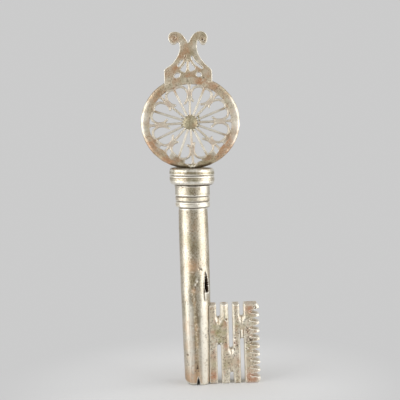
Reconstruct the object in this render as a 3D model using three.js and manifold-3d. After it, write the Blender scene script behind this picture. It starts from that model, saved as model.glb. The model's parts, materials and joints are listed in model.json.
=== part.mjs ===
// Wrought iron key: a hollow pipe shank with a slotted bit, a turned collar, and an oval bow
// filled with a rosette of thin strips on edge under a scrolled crown. All lengths are
// millimetres. The key stands on the flush end of its pipe and bit: +Z runs up the shank to
// the crown, +X points to the bit and -Y is the front, the side with the groove in the pipe.
import * as THREE from 'three';
import { mergeVertices } from 'three/addons/utils/BufferGeometryUtils.js';
import Module from 'manifold-3d';

const wasm = await Module();
wasm.setup();

// Pipe shank
const pipeRadiusAtCollar = 6.0;
const pipeRadiusAtBelly = 6.25;
const pipeRadiusAtEnd = 5.6;
const bellyHeight = 58;
const pipeWall = 1.3;
const pipeLength = 74.6;
const grooveDepth = 1.25;
const grooveAngle = 17;
const grooveTop = 42;
const notchWidth = 1.3;
const notchHeight = 1.9;
const notchOffset = 0.5;
const tearBottom = 37.2;
const tearHeight = 11.6;
const tearWidth = 3.1;
const tearAngle = -34;
const spigotRadius = 5.3;
const spigotWall = 1.3;

// Collar, stacked on the spigot from the pipe upwards
const beadRadius = 7.25;
const lowerBeadHeight = 2.5;
const upperBeadHeight = 2;
const neckRadius = 7.45;
const neckHeight = 5.3;
const collarRadius = 9.45;
const cupHeight = 3.6;
const capHeight = 3.1;
const capLip = 0.4;
const capLipWidth = 0.5;
const collarGroove = 0.8;
const neckEdge = 0.4;
const tangRadius = 2.6;
const tangDepth = 24;

// Bow
const bowHalfWidth = 20.6;
const bowHalfHeight = 19.2;
const rimDepth = 4.2;
const rimSideWidth = 3.45;
const rimTopWidth = 3.3;
const rimBottomWidth = 1.9;
const rimChamfer = 0.9;

// Rosette
const stemCount = 8;
const stemLeans = [0, -2, -1, 0, -2, -4, -3, -1];
const spokeLeans = [0, 0, 0, -1.5, -3.5, -4, -2.2, -0.8];
const hubRadius = 3.4;
const hubDepth = 3.4;
const hubDome = 0.8;
const stripDepth = 3;
const spokeThickness = 0.86;
const stemFlare = 0.35;
const scrollThickness = 0.86;
const tailBallRadius = 0.5;
const tailSpread = 1.2;
const archDrop = 0.35;

// Crown, heights measured from the top of the bow
const crownDepth = 3.2;
const crownHalfWidth = 9.75;
const crownShoulder = 2.7;
const crownSaddle = 1.15;
const crownCorner = 0.4;
const eyeletHalfWidth = 1.4;
const eyeletHalfHeight = 0.95;
const eyeletOffset = 4.5;
const eyeletHeight = 0.85;
const neckHalfWidth = 3.65;
const neckRise = 10.8;
const hornFootHalf = 2.1;
const hornThickness = 1.9;
const hornReach = 3.95;
const hornEyeRadius = 1.2;
const hornCentreOffset = 5.65;
const hornCentreHeight = 14.8;
const strutThickness = 0.9;
const crownStemThickness = 1.05;
const crownStemTop = 7.1;

// Bit
const bitThickness = 6.4;
const bitHeight = 33.8;
const bitReach = 26.45;
const bitChamfer = 0.5;
const toothCount = 10;
const toothDepth = 2.8;
const toothTip = 0.75;
const innerBarEdge = 8.4;
const slotWidth = 1.7;
const secondBarWidth = 3.4;
const thirdBarWidth = 3;
const innerSlotTop = 5.9;
const innerSlotBottom = 16.7;
const middleSlotTop = 19.5;
const middleSlotBottom = 4.9;
const outerSlotTop = 5.8;
const outerSlotBottom = 19.4;
const slotPoint = 0.55;

// Facets round a turned ring, round the pipe and round the bow's rim
const turnedSides = 40;
const pipeSides = 40;
const rimSides = 64;

// Clearances
const brazeGap = 0.12;
const slipGap = 0.15;
const seatGap = 0.3;

// Places that follow from the sizes above
const lowerBeadBase = pipeLength;
const upperBeadBase = lowerBeadBase + lowerBeadHeight;
const neckBase = upperBeadBase + upperBeadHeight;
const cupBase = neckBase + neckHeight;
const capBase = cupBase + cupHeight;
const bowBottom = capBase + capHeight;
const bowCentre = bowBottom + bowHalfHeight;
const openingHalfWidth = bowHalfWidth - rimSideWidth;
const openingHalfHeight = bowHalfHeight - (rimTopWidth + rimBottomWidth) / 2;
const openingDrop = (rimTopWidth - rimBottomWidth) / 2;
const stemPitch = 2 * Math.PI / stemCount;
const evenLobe = stemPitch / 2;

// Finishes
const iron = { color: 0xa89c88, roughness: 0.42, metalness: 0.9 };
const brightIron = { color: 0xb9ae9c, roughness: 0.35, metalness: 0.9 };
const darkIron = { color: 0x7d7058, roughness: 0.55, metalness: 0.85 };
const brazedIron = { color: 0xb3937a, roughness: 0.45, metalness: 0.85 };

function mesh(name, geometry, finish) {
  const piece = new THREE.Mesh(geometry, new THREE.MeshStandardMaterial(finish));
  piece.name = name;
  return piece;
}

// Solids for cutting and joining, from a closed geometry and back again
function toSolid(geometry) {
  const bare = geometry.clone();
  bare.deleteAttribute('normal');
  bare.deleteAttribute('uv');
  const merged = mergeVertices(bare, 1e-4);
  return new wasm.Manifold(new wasm.Mesh({
    numProp: 3,
    vertProperties: new Float32Array(merged.attributes.position.array),
    triVerts: new Uint32Array(merged.index.array),
  }));
}

function fromSolid(solid) {
  const result = solid.getMesh();
  const geometry = new THREE.BufferGeometry();
  geometry.setAttribute('position', new THREE.BufferAttribute(result.vertProperties, 3));
  geometry.setIndex(new THREE.BufferAttribute(result.triVerts, 1));
  geometry.computeVertexNormals();
  return geometry;
}

// A flat outline in the plane of the bow (x right, y up the key), given depth along the
// key's front to back and centred on the bow's plane
function plate(shape, depth, chamfer = 0) {
  const geometry = new THREE.ExtrudeGeometry(shape, {
    depth: depth - 2 * chamfer,
    bevelEnabled: chamfer > 0,
    bevelThickness: chamfer,
    bevelSize: chamfer,
    bevelOffset: -chamfer,
    bevelSegments: 1,
    curveSegments: 12,
  });
  geometry.translate(0, 0, chamfer - depth / 2);
  return geometry.rotateX(Math.PI / 2);
}

// A strip on edge along a curve through points of x, height and half thickness
function strip(points, depth, steps) {
  const path = new THREE.CatmullRomCurve3(points, false, 'centripetal');
  const left = [];
  const right = [];
  for (let i = 0; i <= steps; i += 1) {
    const point = path.getPoint(i / steps);
    const along = path.getTangent(i / steps);
    const side = new THREE.Vector2(-along.y, along.x).normalize().multiplyScalar(point.z);
    left.push(new THREE.Vector2(point.x + side.x, point.y + side.y));
    right.unshift(new THREE.Vector2(point.x - side.x, point.y - side.y));
  }
  return plate(new THREE.Shape([...right, ...left]), depth);
}

// A closed skin through rings of points; the last ring joins the first one if it is a hoop,
// and both ends are closed by a flat fan if it isn't
function skin(rings, hoop) {
  const count = rings[0].length;
  const positions = rings.flat().flatMap((point) => [point.x, point.y, point.z]);
  const faces = [];
  const spans = hoop ? rings.length : rings.length - 1;
  for (let i = 0; i < spans; i += 1) {
    for (let j = 0; j < count; j += 1) {
      const a = i * count + j;
      const b = i * count + (j + 1) % count;
      const c = ((i + 1) % rings.length) * count + (j + 1) % count;
      const d = ((i + 1) % rings.length) * count + j;
      faces.push(a, b, c, a, c, d);
    }
  }
  const geometry = new THREE.BufferGeometry();
  geometry.setAttribute('position', new THREE.Float32BufferAttribute(positions, 3));
  geometry.setIndex(faces);
  geometry.computeVertexNormals();
  return geometry;
}

// A turned ring from points of radius and height that run round its section
function turned(points) {
  const section = points.map(([radius, height]) => new THREE.Vector2(radius, height));
  return new THREE.LatheGeometry([...section, section[0]], turnedSides).rotateX(Math.PI / 2);
}

// The pipe's outer radius: swollen in the middle, drawn in towards the end, with a groove
// down the front that deepens towards the end
function pipeRadius(height) {
  if (height > bellyHeight) {
    const rise = (height - bellyHeight) / (pipeLength - bellyHeight);
    return pipeRadiusAtBelly + (pipeRadiusAtCollar - pipeRadiusAtBelly) * rise * rise;
  }
  const drop = height / bellyHeight;
  return pipeRadiusAtEnd + (pipeRadiusAtBelly - pipeRadiusAtEnd) * Math.sin(drop * Math.PI / 2);
}

function grooveAt(height, angle) {
  const fall = Math.max(0, 1 - height / grooveTop);
  const fromFront = THREE.MathUtils.radToDeg(angle) - 270;
  return grooveDepth * Math.sqrt(fall) * Math.exp(-((fromFront / grooveAngle) ** 2));
}

function pipeRing(height, inset) {
  return Array.from({ length: pipeSides }, (_, j) => {
    const angle = 2 * Math.PI * j / pipeSides;
    const radius = pipeRadius(height) - grooveAt(height, angle) - inset;
    return new THREE.Vector3(radius * Math.cos(angle), radius * Math.sin(angle), height);
  });
}

function roundRing(height, radius) {
  return Array.from({ length: pipeSides }, (_, j) => {
    const angle = 2 * Math.PI * j / pipeSides;
    return new THREE.Vector3(radius * Math.cos(angle), radius * Math.sin(angle), height);
  });
}

// A sheet's torn edge: a tall gap with a jagged outline, wider at its middle
function tearCutter() {
  const bites = [0.3, 0.85, 0.6, 1, 0.75, 0.95, 0.4];
  const rise = (i) => (i + 0.5) / bites.length * tearHeight;
  const right = bites.map((bite, i) => [bite * tearWidth / 2, rise(i)]);
  const left = bites.map((bite, i) => [(0.4 * (i % 2) - 1) * bite * tearWidth / 2, rise(i)]);
  const points = [[0, 0], ...right, [0, tearHeight], ...left.reverse()];
  const shape = new THREE.Shape(points.map(([x, y]) => new THREE.Vector2(x, y)));
  const cutter = plate(shape, pipeRadiusAtBelly);
  cutter.translate(0, -pipeRadiusAtBelly, tearBottom);
  return cutter.rotateZ(THREE.MathUtils.degToRad(tearAngle + 90));
}

function notchCutter() {
  const shape = new THREE.Shape([
    new THREE.Vector2(notchOffset - notchWidth / 2, -notchHeight),
    new THREE.Vector2(notchOffset + notchWidth / 2, -notchHeight),
    new THREE.Vector2(notchOffset + notchWidth / 2, 0),
    new THREE.Vector2(notchOffset, notchHeight),
    new THREE.Vector2(notchOffset - notchWidth / 2, 0),
  ]);
  return plate(shape, pipeRadiusAtEnd).translate(0, -pipeRadiusAtEnd, 0);
}

function shank() {
  const grooved = [0, 0.2, 0.4, 0.6, 0.8, 0.92].map((share) => share * grooveTop);
  const plain = [0.25, 0.5, 0.75, 1].map((share) => (
    THREE.MathUtils.lerp(grooveTop, pipeLength, share)));
  const levels = [...grooved, grooveTop, ...plain];
  const spigotTop = capBase - seatGap;
  const rings = [
    ...levels.map((height) => pipeRing(height, 0)),
    roundRing(pipeLength, spigotRadius),
    roundRing(spigotTop, spigotRadius),
    roundRing(spigotTop, spigotRadius - spigotWall),
    roundRing(pipeLength - 2 * pipeWall, spigotRadius - spigotWall),
    ...levels.slice(0, -1).reverse().map((height) => pipeRing(height, pipeWall)),
  ];
  const body = toSolid(skin(rings, true));
  const torn = body.subtract(toSolid(tearCutter())).subtract(toSolid(notchCutter()));
  return mesh('shank_pipe', fromSolid(torn), iron);
}

// A half-round bead round the spigot; the foot is the radius of its lower edge
function beadRing(name, base, height, foot) {
  const inner = spigotRadius + slipGap;
  const bulge = height * 0.22;
  const ring = mesh(name, turned([
    [inner, 0],
    [foot, 0],
    [(foot + beadRadius) / 2, height * 0.14],
    [beadRadius, height * 0.38],
    [beadRadius, height * 0.66],
    [beadRadius - bulge * 0.4, height * 0.88],
    [beadRadius - bulge, height],
    [inner, height],
  ]), brightIron);
  ring.position.z = base;
  return ring;
}

function neckSleeve() {
  const inner = spigotRadius + slipGap;
  const waist = neckRadius - neckEdge / 4;
  const ring = mesh('neck_sleeve', turned([
    [inner, 0],
    [neckRadius - neckEdge, 0],
    [waist, neckEdge],
    [neckRadius, neckHeight / 2],
    [waist, neckHeight - neckEdge],
    [neckRadius - neckEdge, neckHeight],
    [inner, neckHeight],
  ]), iron);
  ring.position.z = neckBase;
  return ring;
}

function collarCup() {
  const inner = spigotRadius + slipGap;
  const swell = collarRadius - neckRadius;
  const ring = mesh('collar_cup', turned([
    [inner, 0],
    [neckRadius, 0],
    [neckRadius + swell * 0.35, cupHeight * 0.1],
    [neckRadius + swell * 0.75, cupHeight * 0.3],
    [collarRadius, cupHeight * 0.55],
    [collarRadius, cupHeight * 0.78],
    [collarRadius - collarGroove * 0.4, cupHeight * 0.92],
    [collarRadius - collarGroove, cupHeight],
    [inner, cupHeight],
  ]), iron);
  ring.position.z = cupBase;
  return ring;
}

// The top ring has a dished seat, and the bow's rim stands in it
function collarCap() {
  const inner = tangRadius + slipGap;
  const floor = capHeight - seatGap;
  const lip = capHeight + capLip;
  const ring = mesh('collar_cap', turned([
    [inner, 0],
    [collarRadius - collarGroove, 0],
    [collarRadius - collarGroove * 0.3, capHeight * 0.13],
    [collarRadius, capHeight * 0.35],
    [collarRadius, capHeight * 0.6],
    [collarRadius - capLipWidth, lip - capLipWidth],
    [collarRadius - capLipWidth * 2, lip],
    [collarRadius - capLipWidth * 3, lip],
    [collarRadius - capLipWidth * 5, floor],
    [inner, floor],
  ]), darkIron);
  ring.position.z = capBase;
  return ring;
}

// The tang stands under the rim, runs down through the cap and plugs the top of the pipe
function bowTang() {
  const plugRadius = spigotRadius - spigotWall - slipGap;
  const plugTop = capBase - seatGap;
  const top = bowBottom - seatGap / 2;
  return mesh('bow_tang', turned([
    [0, bowBottom - tangDepth],
    [plugRadius * 0.85, bowBottom - tangDepth],
    [plugRadius, bowBottom - tangDepth + plugRadius * 0.15],
    [plugRadius, plugTop],
    [tangRadius, plugTop],
    [tangRadius, top],
    [0, top],
  ]), darkIron);
}

// A point of the bow's plane at a share of the oval's size and an angle from the top,
// clockwise as seen from the front
function onOval(share, angle) {
  return new THREE.Vector2(
    share * bowHalfWidth * Math.sin(angle),
    share * bowHalfHeight * Math.cos(angle),
  );
}

// The share of the oval's size at which the rim's opening begins in a direction, or an oval
// set inside the opening
function openingShare(angle, inset = 0) {
  const across = bowHalfWidth * Math.sin(angle) / (openingHalfWidth - inset);
  const up = bowHalfHeight * Math.cos(angle) / (openingHalfHeight - inset);
  const drop = openingDrop / (openingHalfHeight - inset);
  const square = across * across + up * up;
  const middle = up * drop;
  return (-middle + Math.sqrt(middle * middle - square * (drop * drop - 1))) / square;
}

function bowRim() {
  const rings = [];
  for (let i = 0; i < rimSides; i += 1) {
    const angle = 2 * Math.PI * i / rimSides;
    const inner = onOval(openingShare(angle), angle);
    const outer = onOval(1, angle);
    const width = outer.distanceTo(inner);
    const edge = rimDepth / 2;
    const soft = rimChamfer / width;
    const section = [
      [0, edge - rimChamfer / 3], [soft / 3, edge], [1 - soft, edge],
      [1 - soft / 3.4, edge - rimChamfer / 3.4], [1, edge - rimChamfer],
      [1, -edge + rimChamfer], [1 - soft / 3.4, -edge + rimChamfer / 3.4],
      [1 - soft, -edge], [soft / 3, -edge], [0, -edge + rimChamfer / 3],
    ];
    rings.push(section.map(([share, depth]) => {
      const point = inner.clone().lerp(outer, share);
      return new THREE.Vector3(point.x, depth, point.y);
    }));
  }
  return mesh('bow_rim', skin(rings, true), iron);
}

function rosetteHub() {
  const half = hubDepth / 2;
  return mesh('rosette_hub', turned([
    [0, -half - hubDome],
    [hubRadius * 0.45, -half - hubDome * 0.85],
    [hubRadius * 0.8, -half - hubDome * 0.3],
    [hubRadius, -half],
    [hubRadius, half],
    [hubRadius * 0.8, half + hubDome * 0.3],
    [hubRadius * 0.45, half + hubDome * 0.85],
    [0, half + hubDome],
  ]).rotateX(Math.PI / 2), brightIron);
}

// Strips were set by eye: each leans a few degrees from an even spacing, clockwise from the top
function leaning(leans, index, start) {
  const turn = (index + stemCount) % stemCount;
  return index * stemPitch + start + THREE.MathUtils.degToRad(leans[turn]);
}

function stemAngle(index) {
  return leaning(stemLeans, index, 0);
}

function spokeAngle(index) {
  return leaning(spokeLeans, index, evenLobe);
}

// A spoke from the hub to the rim, with its outer end spread by a flare
function spoke(name, angle, flare) {
  const direction = onOval(1, angle);
  const reach = direction.length();
  const start = hubRadius + brazeGap;
  const end = reach * openingShare(angle) - brazeGap - flare * 0.1;
  const half = spokeThickness / 2;
  const heading = Math.atan2(direction.x, direction.y);
  const piece = mesh(name, strip([
    new THREE.Vector3(0, start, half),
    new THREE.Vector3(0, start + (end - start) * 0.5, half),
    new THREE.Vector3(0, end - spokeThickness * 1.9, half),
    new THREE.Vector3(0, end - spokeThickness * 0.8, half + flare * 0.3),
    new THREE.Vector3(0, end, half + flare),
  ], stripDepth, 8), brightIron);
  piece.rotation.y = heading;
  return piece;
}

// A C-scroll lies against its stem, arches over along the rim to the next plain spoke and ends
// in a curled tail with a small ball; lobe is the signed angle from its stem to that spoke
function scroll(name, angle, lobe) {
  const side = Math.sign(lobe);
  const spread = tailSpread * (lobe / evenLobe) ** 2;
  const half = scrollThickness / 2;
  const beside = spokeThickness / 2 + brazeGap + half;
  const stemEnd = onOval(1, angle);
  const stemReach = stemEnd.length();
  const across = stemEnd.clone().normalize();
  const along = new THREE.Vector2(across.y, -across.x).multiplyScalar(side);
  const onStem = (share, offset) => across.clone().multiplyScalar(share * stemReach)
    .addScaledVector(along, offset);
  const underRim = (share, drop) => {
    const there = angle + lobe * share;
    return onOval(openingShare(there, half + brazeGap + drop), there);
  };
  const spokeDirection = onOval(1, angle + lobe).normalize();
  const backToStem = new THREE.Vector2(-spokeDirection.y, spokeDirection.x).multiplyScalar(side);
  const end = underRim(1, 0)
    .addScaledVector(backToStem, spokeThickness / 2 + brazeGap + half);
  const centres = [
    onStem(0.45, beside + spread),
    onStem(0.48, beside + spread * 0.55),
    onStem(0.53, beside + spread * 0.07),
    onStem(0.6, beside),
    onStem(0.66, beside),
    onStem(0.705, beside + spread * 0.25),
    onStem(0.745, beside + spread * 0.75),
    underRim(0.49, archDrop),
    underRim(0.66, archDrop * 0.2),
    end,
  ];
  const ribbon = strip(centres.map((centre) => new THREE.Vector3(centre.x, centre.y, half)),
    stripDepth, 18);
  const ball = new THREE.CylinderGeometry(tailBallRadius, tailBallRadius, stripDepth, 8);
  ball.translate(centres[0].x, 0, centres[0].y);
  return mesh(name, fromSolid(toSolid(ribbon).add(toSolid(ball))), brazedIron);
}

function rosette() {
  const group = new THREE.Group();
  group.add(rosetteHub());
  for (let i = 0; i < stemCount; i += 1) {
    const angle = stemAngle(i);
    group.add(spoke(`stem_${i + 1}`, angle, stemFlare));
    group.add(spoke(`plain_spoke_${i + 1}`, spokeAngle(i), 0));
    group.add(scroll(`scroll_${i + 1}_right`, angle, spokeAngle(i) - angle));
    group.add(scroll(`scroll_${i + 1}_left`, angle, spokeAngle(i - 1) - angle));
  }
  return group;
}

function bow() {
  const group = new THREE.Group();
  group.add(bowRim());
  group.add(rosette());
  group.position.z = bowCentre;
  return group;
}

// The crown's foot: a plate saddled on the rim, with an eyelet on each side
function crownBase() {
  const shape = new THREE.Shape();
  const steps = 12;
  for (let i = 0; i <= steps; i += 1) {
    const x = crownHalfWidth * (2 * i / steps - 1);
    const height = bowHalfHeight * (Math.sqrt(1 - (x / bowHalfWidth) ** 2) - 1) + brazeGap;
    if (i === 0) shape.moveTo(x, height);
    else shape.lineTo(x, height);
  }
  const overEyelet = eyeletOffset + eyeletHalfWidth / 2;
  const sag = crownSaddle + (crownShoulder - crownSaddle) * 0.6;
  shape.lineTo(crownHalfWidth, crownShoulder - crownCorner);
  shape.lineTo(crownHalfWidth - crownCorner, crownShoulder);
  shape.lineTo(overEyelet, crownShoulder);
  shape.quadraticCurveTo(eyeletOffset / 2, sag, 0, crownSaddle);
  shape.quadraticCurveTo(-eyeletOffset / 2, sag, -overEyelet, crownShoulder);
  shape.lineTo(crownCorner - crownHalfWidth, crownShoulder);
  shape.lineTo(-crownHalfWidth, crownShoulder - crownCorner);
  shape.closePath();
  for (const side of [-1, 1]) {
    const eyelet = new THREE.Path();
    eyelet.absellipse(side * eyeletOffset, eyeletHeight, eyeletHalfWidth, eyeletHalfHeight,
      0, 2 * Math.PI);
    shape.holes.push(eyelet);
  }
  return mesh('crown_base', plate(shape, crownDepth), darkIron);
}

// A thick strip that rises from the foot along the shoulder, meets its twin at the neck and
// rolls outwards into a horn, whose spiral tightens towards its eye; side is 1 on the right
function crownHorn(name, side) {
  const neckHalf = (neckHalfWidth - brazeGap / 2) / 2;
  const neckCentre = neckHalfWidth - neckHalf;
  const footCentre = crownHalfWidth - hornFootHalf - brazeGap;
  const onShoulder = (outwards, upwards, half) => new THREE.Vector3(
    side * THREE.MathUtils.lerp(neckCentre, footCentre, outwards),
    THREE.MathUtils.lerp(crownShoulder, neckRise, upwards),
    half,
  );
  const path = [
    onShoulder(1, -0.05, hornFootHalf),
    onShoulder(0.95, 0.12, hornFootHalf * 0.75),
    onShoulder(0.78, 0.253, hornThickness * 0.55),
    onShoulder(0.49, 0.457, hornThickness * 0.5),
    onShoulder(0.255, 0.654, hornThickness * 0.6),
    onShoulder(0.066, 0.815, neckHalf * 0.84),
    onShoulder(0, 1, neckHalf),
    new THREE.Vector3(side * neckCentre, neckRise + hornThickness * 0.85, neckHalf),
  ];
  const spiralTurns = 12;
  const spiralStart = 195;
  const spiralEnd = -162;
  for (let i = 0; i <= spiralTurns; i += 1) {
    const left = 1 - i / spiralTurns;
    const angle = THREE.MathUtils.degToRad(spiralEnd + (spiralStart - spiralEnd) * left);
    const radius = hornEyeRadius + (hornReach - hornEyeRadius) * left ** 2.3;
    const half = hornEyeRadius * 0.6 + (neckHalf - hornEyeRadius * 0.65) * left ** 5;
    path.push(new THREE.Vector3(
      side * (hornCentreOffset + radius * Math.cos(angle)),
      hornCentreHeight + radius * Math.sin(angle),
      half,
    ));
  }
  const below = new THREE.BoxGeometry(4 * crownHalfWidth, 2 * crownDepth, 2 * crownHalfWidth);
  below.translate(0, 0, crownShoulder + brazeGap - crownHalfWidth);
  const horn = toSolid(strip(path, crownDepth, 40)).subtract(toSolid(below));
  return mesh(name, fromSolid(horn), iron);
}

function crownStrut(name, side) {
  const half = strutThickness / 2;
  const foot = eyeletOffset - strutThickness;
  const top = crownStemThickness / 2 + half + brazeGap;
  return mesh(name, strip([
    new THREE.Vector3(side * foot, crownShoulder + half * 0.6, half),
    new THREE.Vector3(side * THREE.MathUtils.lerp(foot, top, 0.5),
      THREE.MathUtils.lerp(crownShoulder, crownStemTop, 0.44), half),
    new THREE.Vector3(side * top, crownStemTop + half, half),
  ], crownDepth * 0.9, 4), brazedIron);
}

function crownStem() {
  const half = crownStemThickness / 2;
  return mesh('crown_stem', strip([
    new THREE.Vector3(0, crownSaddle + half, half * 1.4),
    new THREE.Vector3(0, crownSaddle + half * 2.3, half),
    new THREE.Vector3(0, crownStemTop, half * 0.8),
  ], crownDepth * 0.9, 6), brazedIron);
}

function crown() {
  const group = new THREE.Group();
  group.add(crownBase());
  group.add(crownHorn('crown_horn_left', -1));
  group.add(crownHorn('crown_horn_right', 1));
  group.add(crownStrut('crown_strut_left', -1));
  group.add(crownStrut('crown_strut_right', 1));
  group.add(crownStem());
  group.position.z = bowCentre + bowHalfHeight;
  return group;
}

// The bit's outline: slots sawn in from the top and the bottom for the lock's wards, and a
// comb of rounded teeth along the outer edge
function bitOutline() {
  const middleSlotEdge = innerBarEdge + slotWidth + secondBarWidth;
  const outerSlotEdge = middleSlotEdge + slotWidth + thirdBarWidth;
  const slots = [
    { from: innerBarEdge, top: innerSlotTop, bottom: innerSlotBottom },
    { from: middleSlotEdge, top: middleSlotTop, bottom: middleSlotBottom },
    { from: outerSlotEdge, top: outerSlotTop, bottom: outerSlotBottom },
  ];
  const shape = new THREE.Shape();
  shape.moveTo(0, 0);
  for (const { from, bottom } of slots) {
    shape.lineTo(from, 0);
    shape.lineTo(from, bottom - slotPoint);
    shape.lineTo(from + slotWidth / 2, bottom);
    shape.lineTo(from + slotWidth, bottom - slotPoint);
    shape.lineTo(from + slotWidth, 0);
  }
  const pitch = bitHeight / toothCount;
  const root = bitReach - toothDepth;
  const shoulder = bitReach - toothTip;
  shape.lineTo(shoulder, 0);
  for (let i = 0; i < toothCount; i += 1) {
    const middle = (i + 0.5) * pitch;
    if (i > 0) shape.lineTo(root, i * pitch);
    shape.lineTo(shoulder, middle - pitch * 0.33);
    shape.lineTo(bitReach, middle - pitch * 0.13);
    shape.lineTo(bitReach, middle + pitch * 0.13);
    shape.lineTo(shoulder, middle + pitch * 0.33);
  }
  shape.lineTo(shoulder, bitHeight);
  for (const { from, top } of [...slots].reverse()) {
    shape.lineTo(from + slotWidth, bitHeight);
    shape.lineTo(from + slotWidth, bitHeight - top + slotPoint);
    shape.lineTo(from + slotWidth / 2, bitHeight - top);
    shape.lineTo(from, bitHeight - top + slotPoint);
    shape.lineTo(from, bitHeight);
  }
  shape.lineTo(0, bitHeight);
  shape.closePath();
  return shape;
}

function bit() {
  const blade = toSolid(plate(bitOutline(), bitThickness, bitChamfer));
  const levels = [-0.2, 0, 0.2, 0.4, 0.6, 0.8, 1, 1.2].map((share) => share * bitHeight);
  const rings = levels.map((height) => pipeRing(Math.max(height, 0), -brazeGap)
    .map((point) => point.setZ(height)));
  const lowest = rings[0].map(() => new THREE.Vector3(0, 0, levels[0]));
  const highest = rings[0].map(() => new THREE.Vector3(0, 0, levels.at(-1)));
  const pipe = toSolid(skin([lowest, ...rings, highest], false));
  return mesh('bit', fromSolid(blade.subtract(pipe)), iron);
}

const key = new THREE.Group();
key.add(
  shank(),
  bit(),
  beadRing('lower_bead_ring', lowerBeadBase, lowerBeadHeight, pipeRadiusAtCollar + 0.3),
  beadRing('upper_bead_ring', upperBeadBase, upperBeadHeight, beadRadius - 0.4),
  neckSleeve(),
  collarCup(),
  collarCap(),
  bowTang(),
  bow(),
  crown(),
);

// The origin is the middle of the key's box, on the surface that it stands on
const box = new THREE.Box3().setFromObject(key);
key.position.set(-(box.min.x + box.max.x) / 2, -(box.min.y + box.max.y) / 2, -box.min.z);

export default key;
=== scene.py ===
"""Looks of a wrought iron key with a pipe shank, a sawn bit and a bow with a strip rosette."""

import json
import logging
import math
from collections.abc import Iterator
from contextlib import contextmanager
from dataclasses import dataclass
from enum import Enum
from functools import partial
from typing import Any

import bmesh
import bpy
import numpy as np
from mathutils import Matrix, Vector


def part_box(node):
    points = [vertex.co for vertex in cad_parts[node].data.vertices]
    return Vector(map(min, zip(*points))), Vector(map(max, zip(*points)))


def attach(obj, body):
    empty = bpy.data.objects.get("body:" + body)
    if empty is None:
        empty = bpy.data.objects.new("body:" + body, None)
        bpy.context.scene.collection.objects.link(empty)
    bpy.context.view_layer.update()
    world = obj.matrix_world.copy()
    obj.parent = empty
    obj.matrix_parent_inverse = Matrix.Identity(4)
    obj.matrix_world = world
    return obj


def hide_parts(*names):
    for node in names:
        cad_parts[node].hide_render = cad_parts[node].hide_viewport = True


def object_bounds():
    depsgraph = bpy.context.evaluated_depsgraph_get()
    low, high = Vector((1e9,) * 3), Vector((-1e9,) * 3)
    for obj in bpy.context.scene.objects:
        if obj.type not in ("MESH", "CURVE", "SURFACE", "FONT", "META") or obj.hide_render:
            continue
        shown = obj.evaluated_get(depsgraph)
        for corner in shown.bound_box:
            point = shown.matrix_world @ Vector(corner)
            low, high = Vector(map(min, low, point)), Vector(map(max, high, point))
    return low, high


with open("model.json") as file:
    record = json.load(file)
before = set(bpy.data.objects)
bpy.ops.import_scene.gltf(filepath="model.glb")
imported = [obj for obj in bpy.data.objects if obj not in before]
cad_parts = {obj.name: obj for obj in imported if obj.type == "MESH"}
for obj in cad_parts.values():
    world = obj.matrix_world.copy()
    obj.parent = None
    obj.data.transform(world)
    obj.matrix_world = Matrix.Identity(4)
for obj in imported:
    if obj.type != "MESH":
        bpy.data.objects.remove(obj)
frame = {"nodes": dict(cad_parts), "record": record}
cad_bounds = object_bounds()
log = logging.getLogger("iron_key")

Tree = bpy.types.NodeTree
Socket = bpy.types.NodeSocket
Iron = bpy.types.Material
Piece = bpy.types.Object
Point = tuple[float, float]
Rows = tuple[tuple[float, ...], ...]

MM = 0.001
# Numbers of a mix node's two colour inputs and of its colour output
MIX_A, MIX_B, MIX_COLOUR = 6, 7, 2
# How far each round of smoothing takes a point towards its neighbours' middle
SMOOTH_FACTOR = 0.5
# What sets the noise of each piece apart from the last one's
SEED_STEP = 3.7
# Radius of a strip's edges, as a share of its thickness
ROUNDING = 0.4
# Points closer than this, in m, are one
WELD = 1e-6


class Stain(Enum):
    """Numbers that a mesh holds for each point and that the materials read."""

    WEAR = "wear"
    # Darker where a point lies below its neighbours' middle, in hollows
    HOLLOW_DARK = "hollow_dark"
    PIT = "pit"
    COPPER = "copper"
    # Greenish patches, and painted shade on the collar
    OLIVE_AND_SHADE = "olive_and_shade"
    ROT = "rot"
    LINE = "line"
    # Worn spots, and painted highlights where the lamps would gleam
    HIGHLIGHT_AND_RUB = "highlight_and_rub"
    SHADE = "shade"


class Slot(Enum):
    """Material slots of the key's record."""

    IRON = "iron"
    BRIGHT = "bright_iron"
    DARK = "dark_iron"
    BRAZED = "brazed_iron"


def linear(hex_colour: str) -> tuple[float, float, float, float]:
    """Turns an sRGB hex colour into linear light.

    Args:
        hex_colour: Six hex digits.

    Returns:
        Linear red, green, blue and an alpha of 1.
    """
    parts = [int(hex_colour[at:at + 2], 16) / 255 for at in (0, 2, 4)]
    light = [v / 12.92 if v <= 0.04045 else ((v + 0.055) / 1.055) ** 2.4 for v in parts]
    return (light[0], light[1], light[2], 1.0)


def grain(size: float) -> float:
    """Gives the texture scale at which a pattern's marks are about this many millimetres wide."""
    return 1 / (size * MM)


def with_values(target: Any, **values: Any) -> Any:
    """Sets some values of a thing in Blender.

    Args:
        target: The thing, such as a lamp, a node or a modifier.
        **values: The values.

    Returns:
        The thing.
    """
    for name, value in values.items():
        setattr(target, name, value)
    return target


def add_node(tree: Tree, kind: str, inputs: dict[Any, Any] | None = None, out: int | str = 0,
             **settings: Any) -> Socket | None:
    """Adds one node to a tree, with its settings and what goes into its sockets.

    Args:
        tree: The tree that gets the node.
        kind: Blender's name for the node's type.
        inputs: For each socket's name or number, a value, or the output linked to it.
        out: Name or number of the output that is given back.
        **settings: The node's own settings.

    Returns:
        That output, or None where the node has none.
    """
    made = with_values(tree.nodes.new(kind), **settings)
    for key, value in (inputs or {}).items():
        if isinstance(value, Socket):
            tree.links.new(value, made.inputs[key])
        else:
            made.inputs[key].default_value = value
    return made.outputs[out] if made.outputs else None


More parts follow.
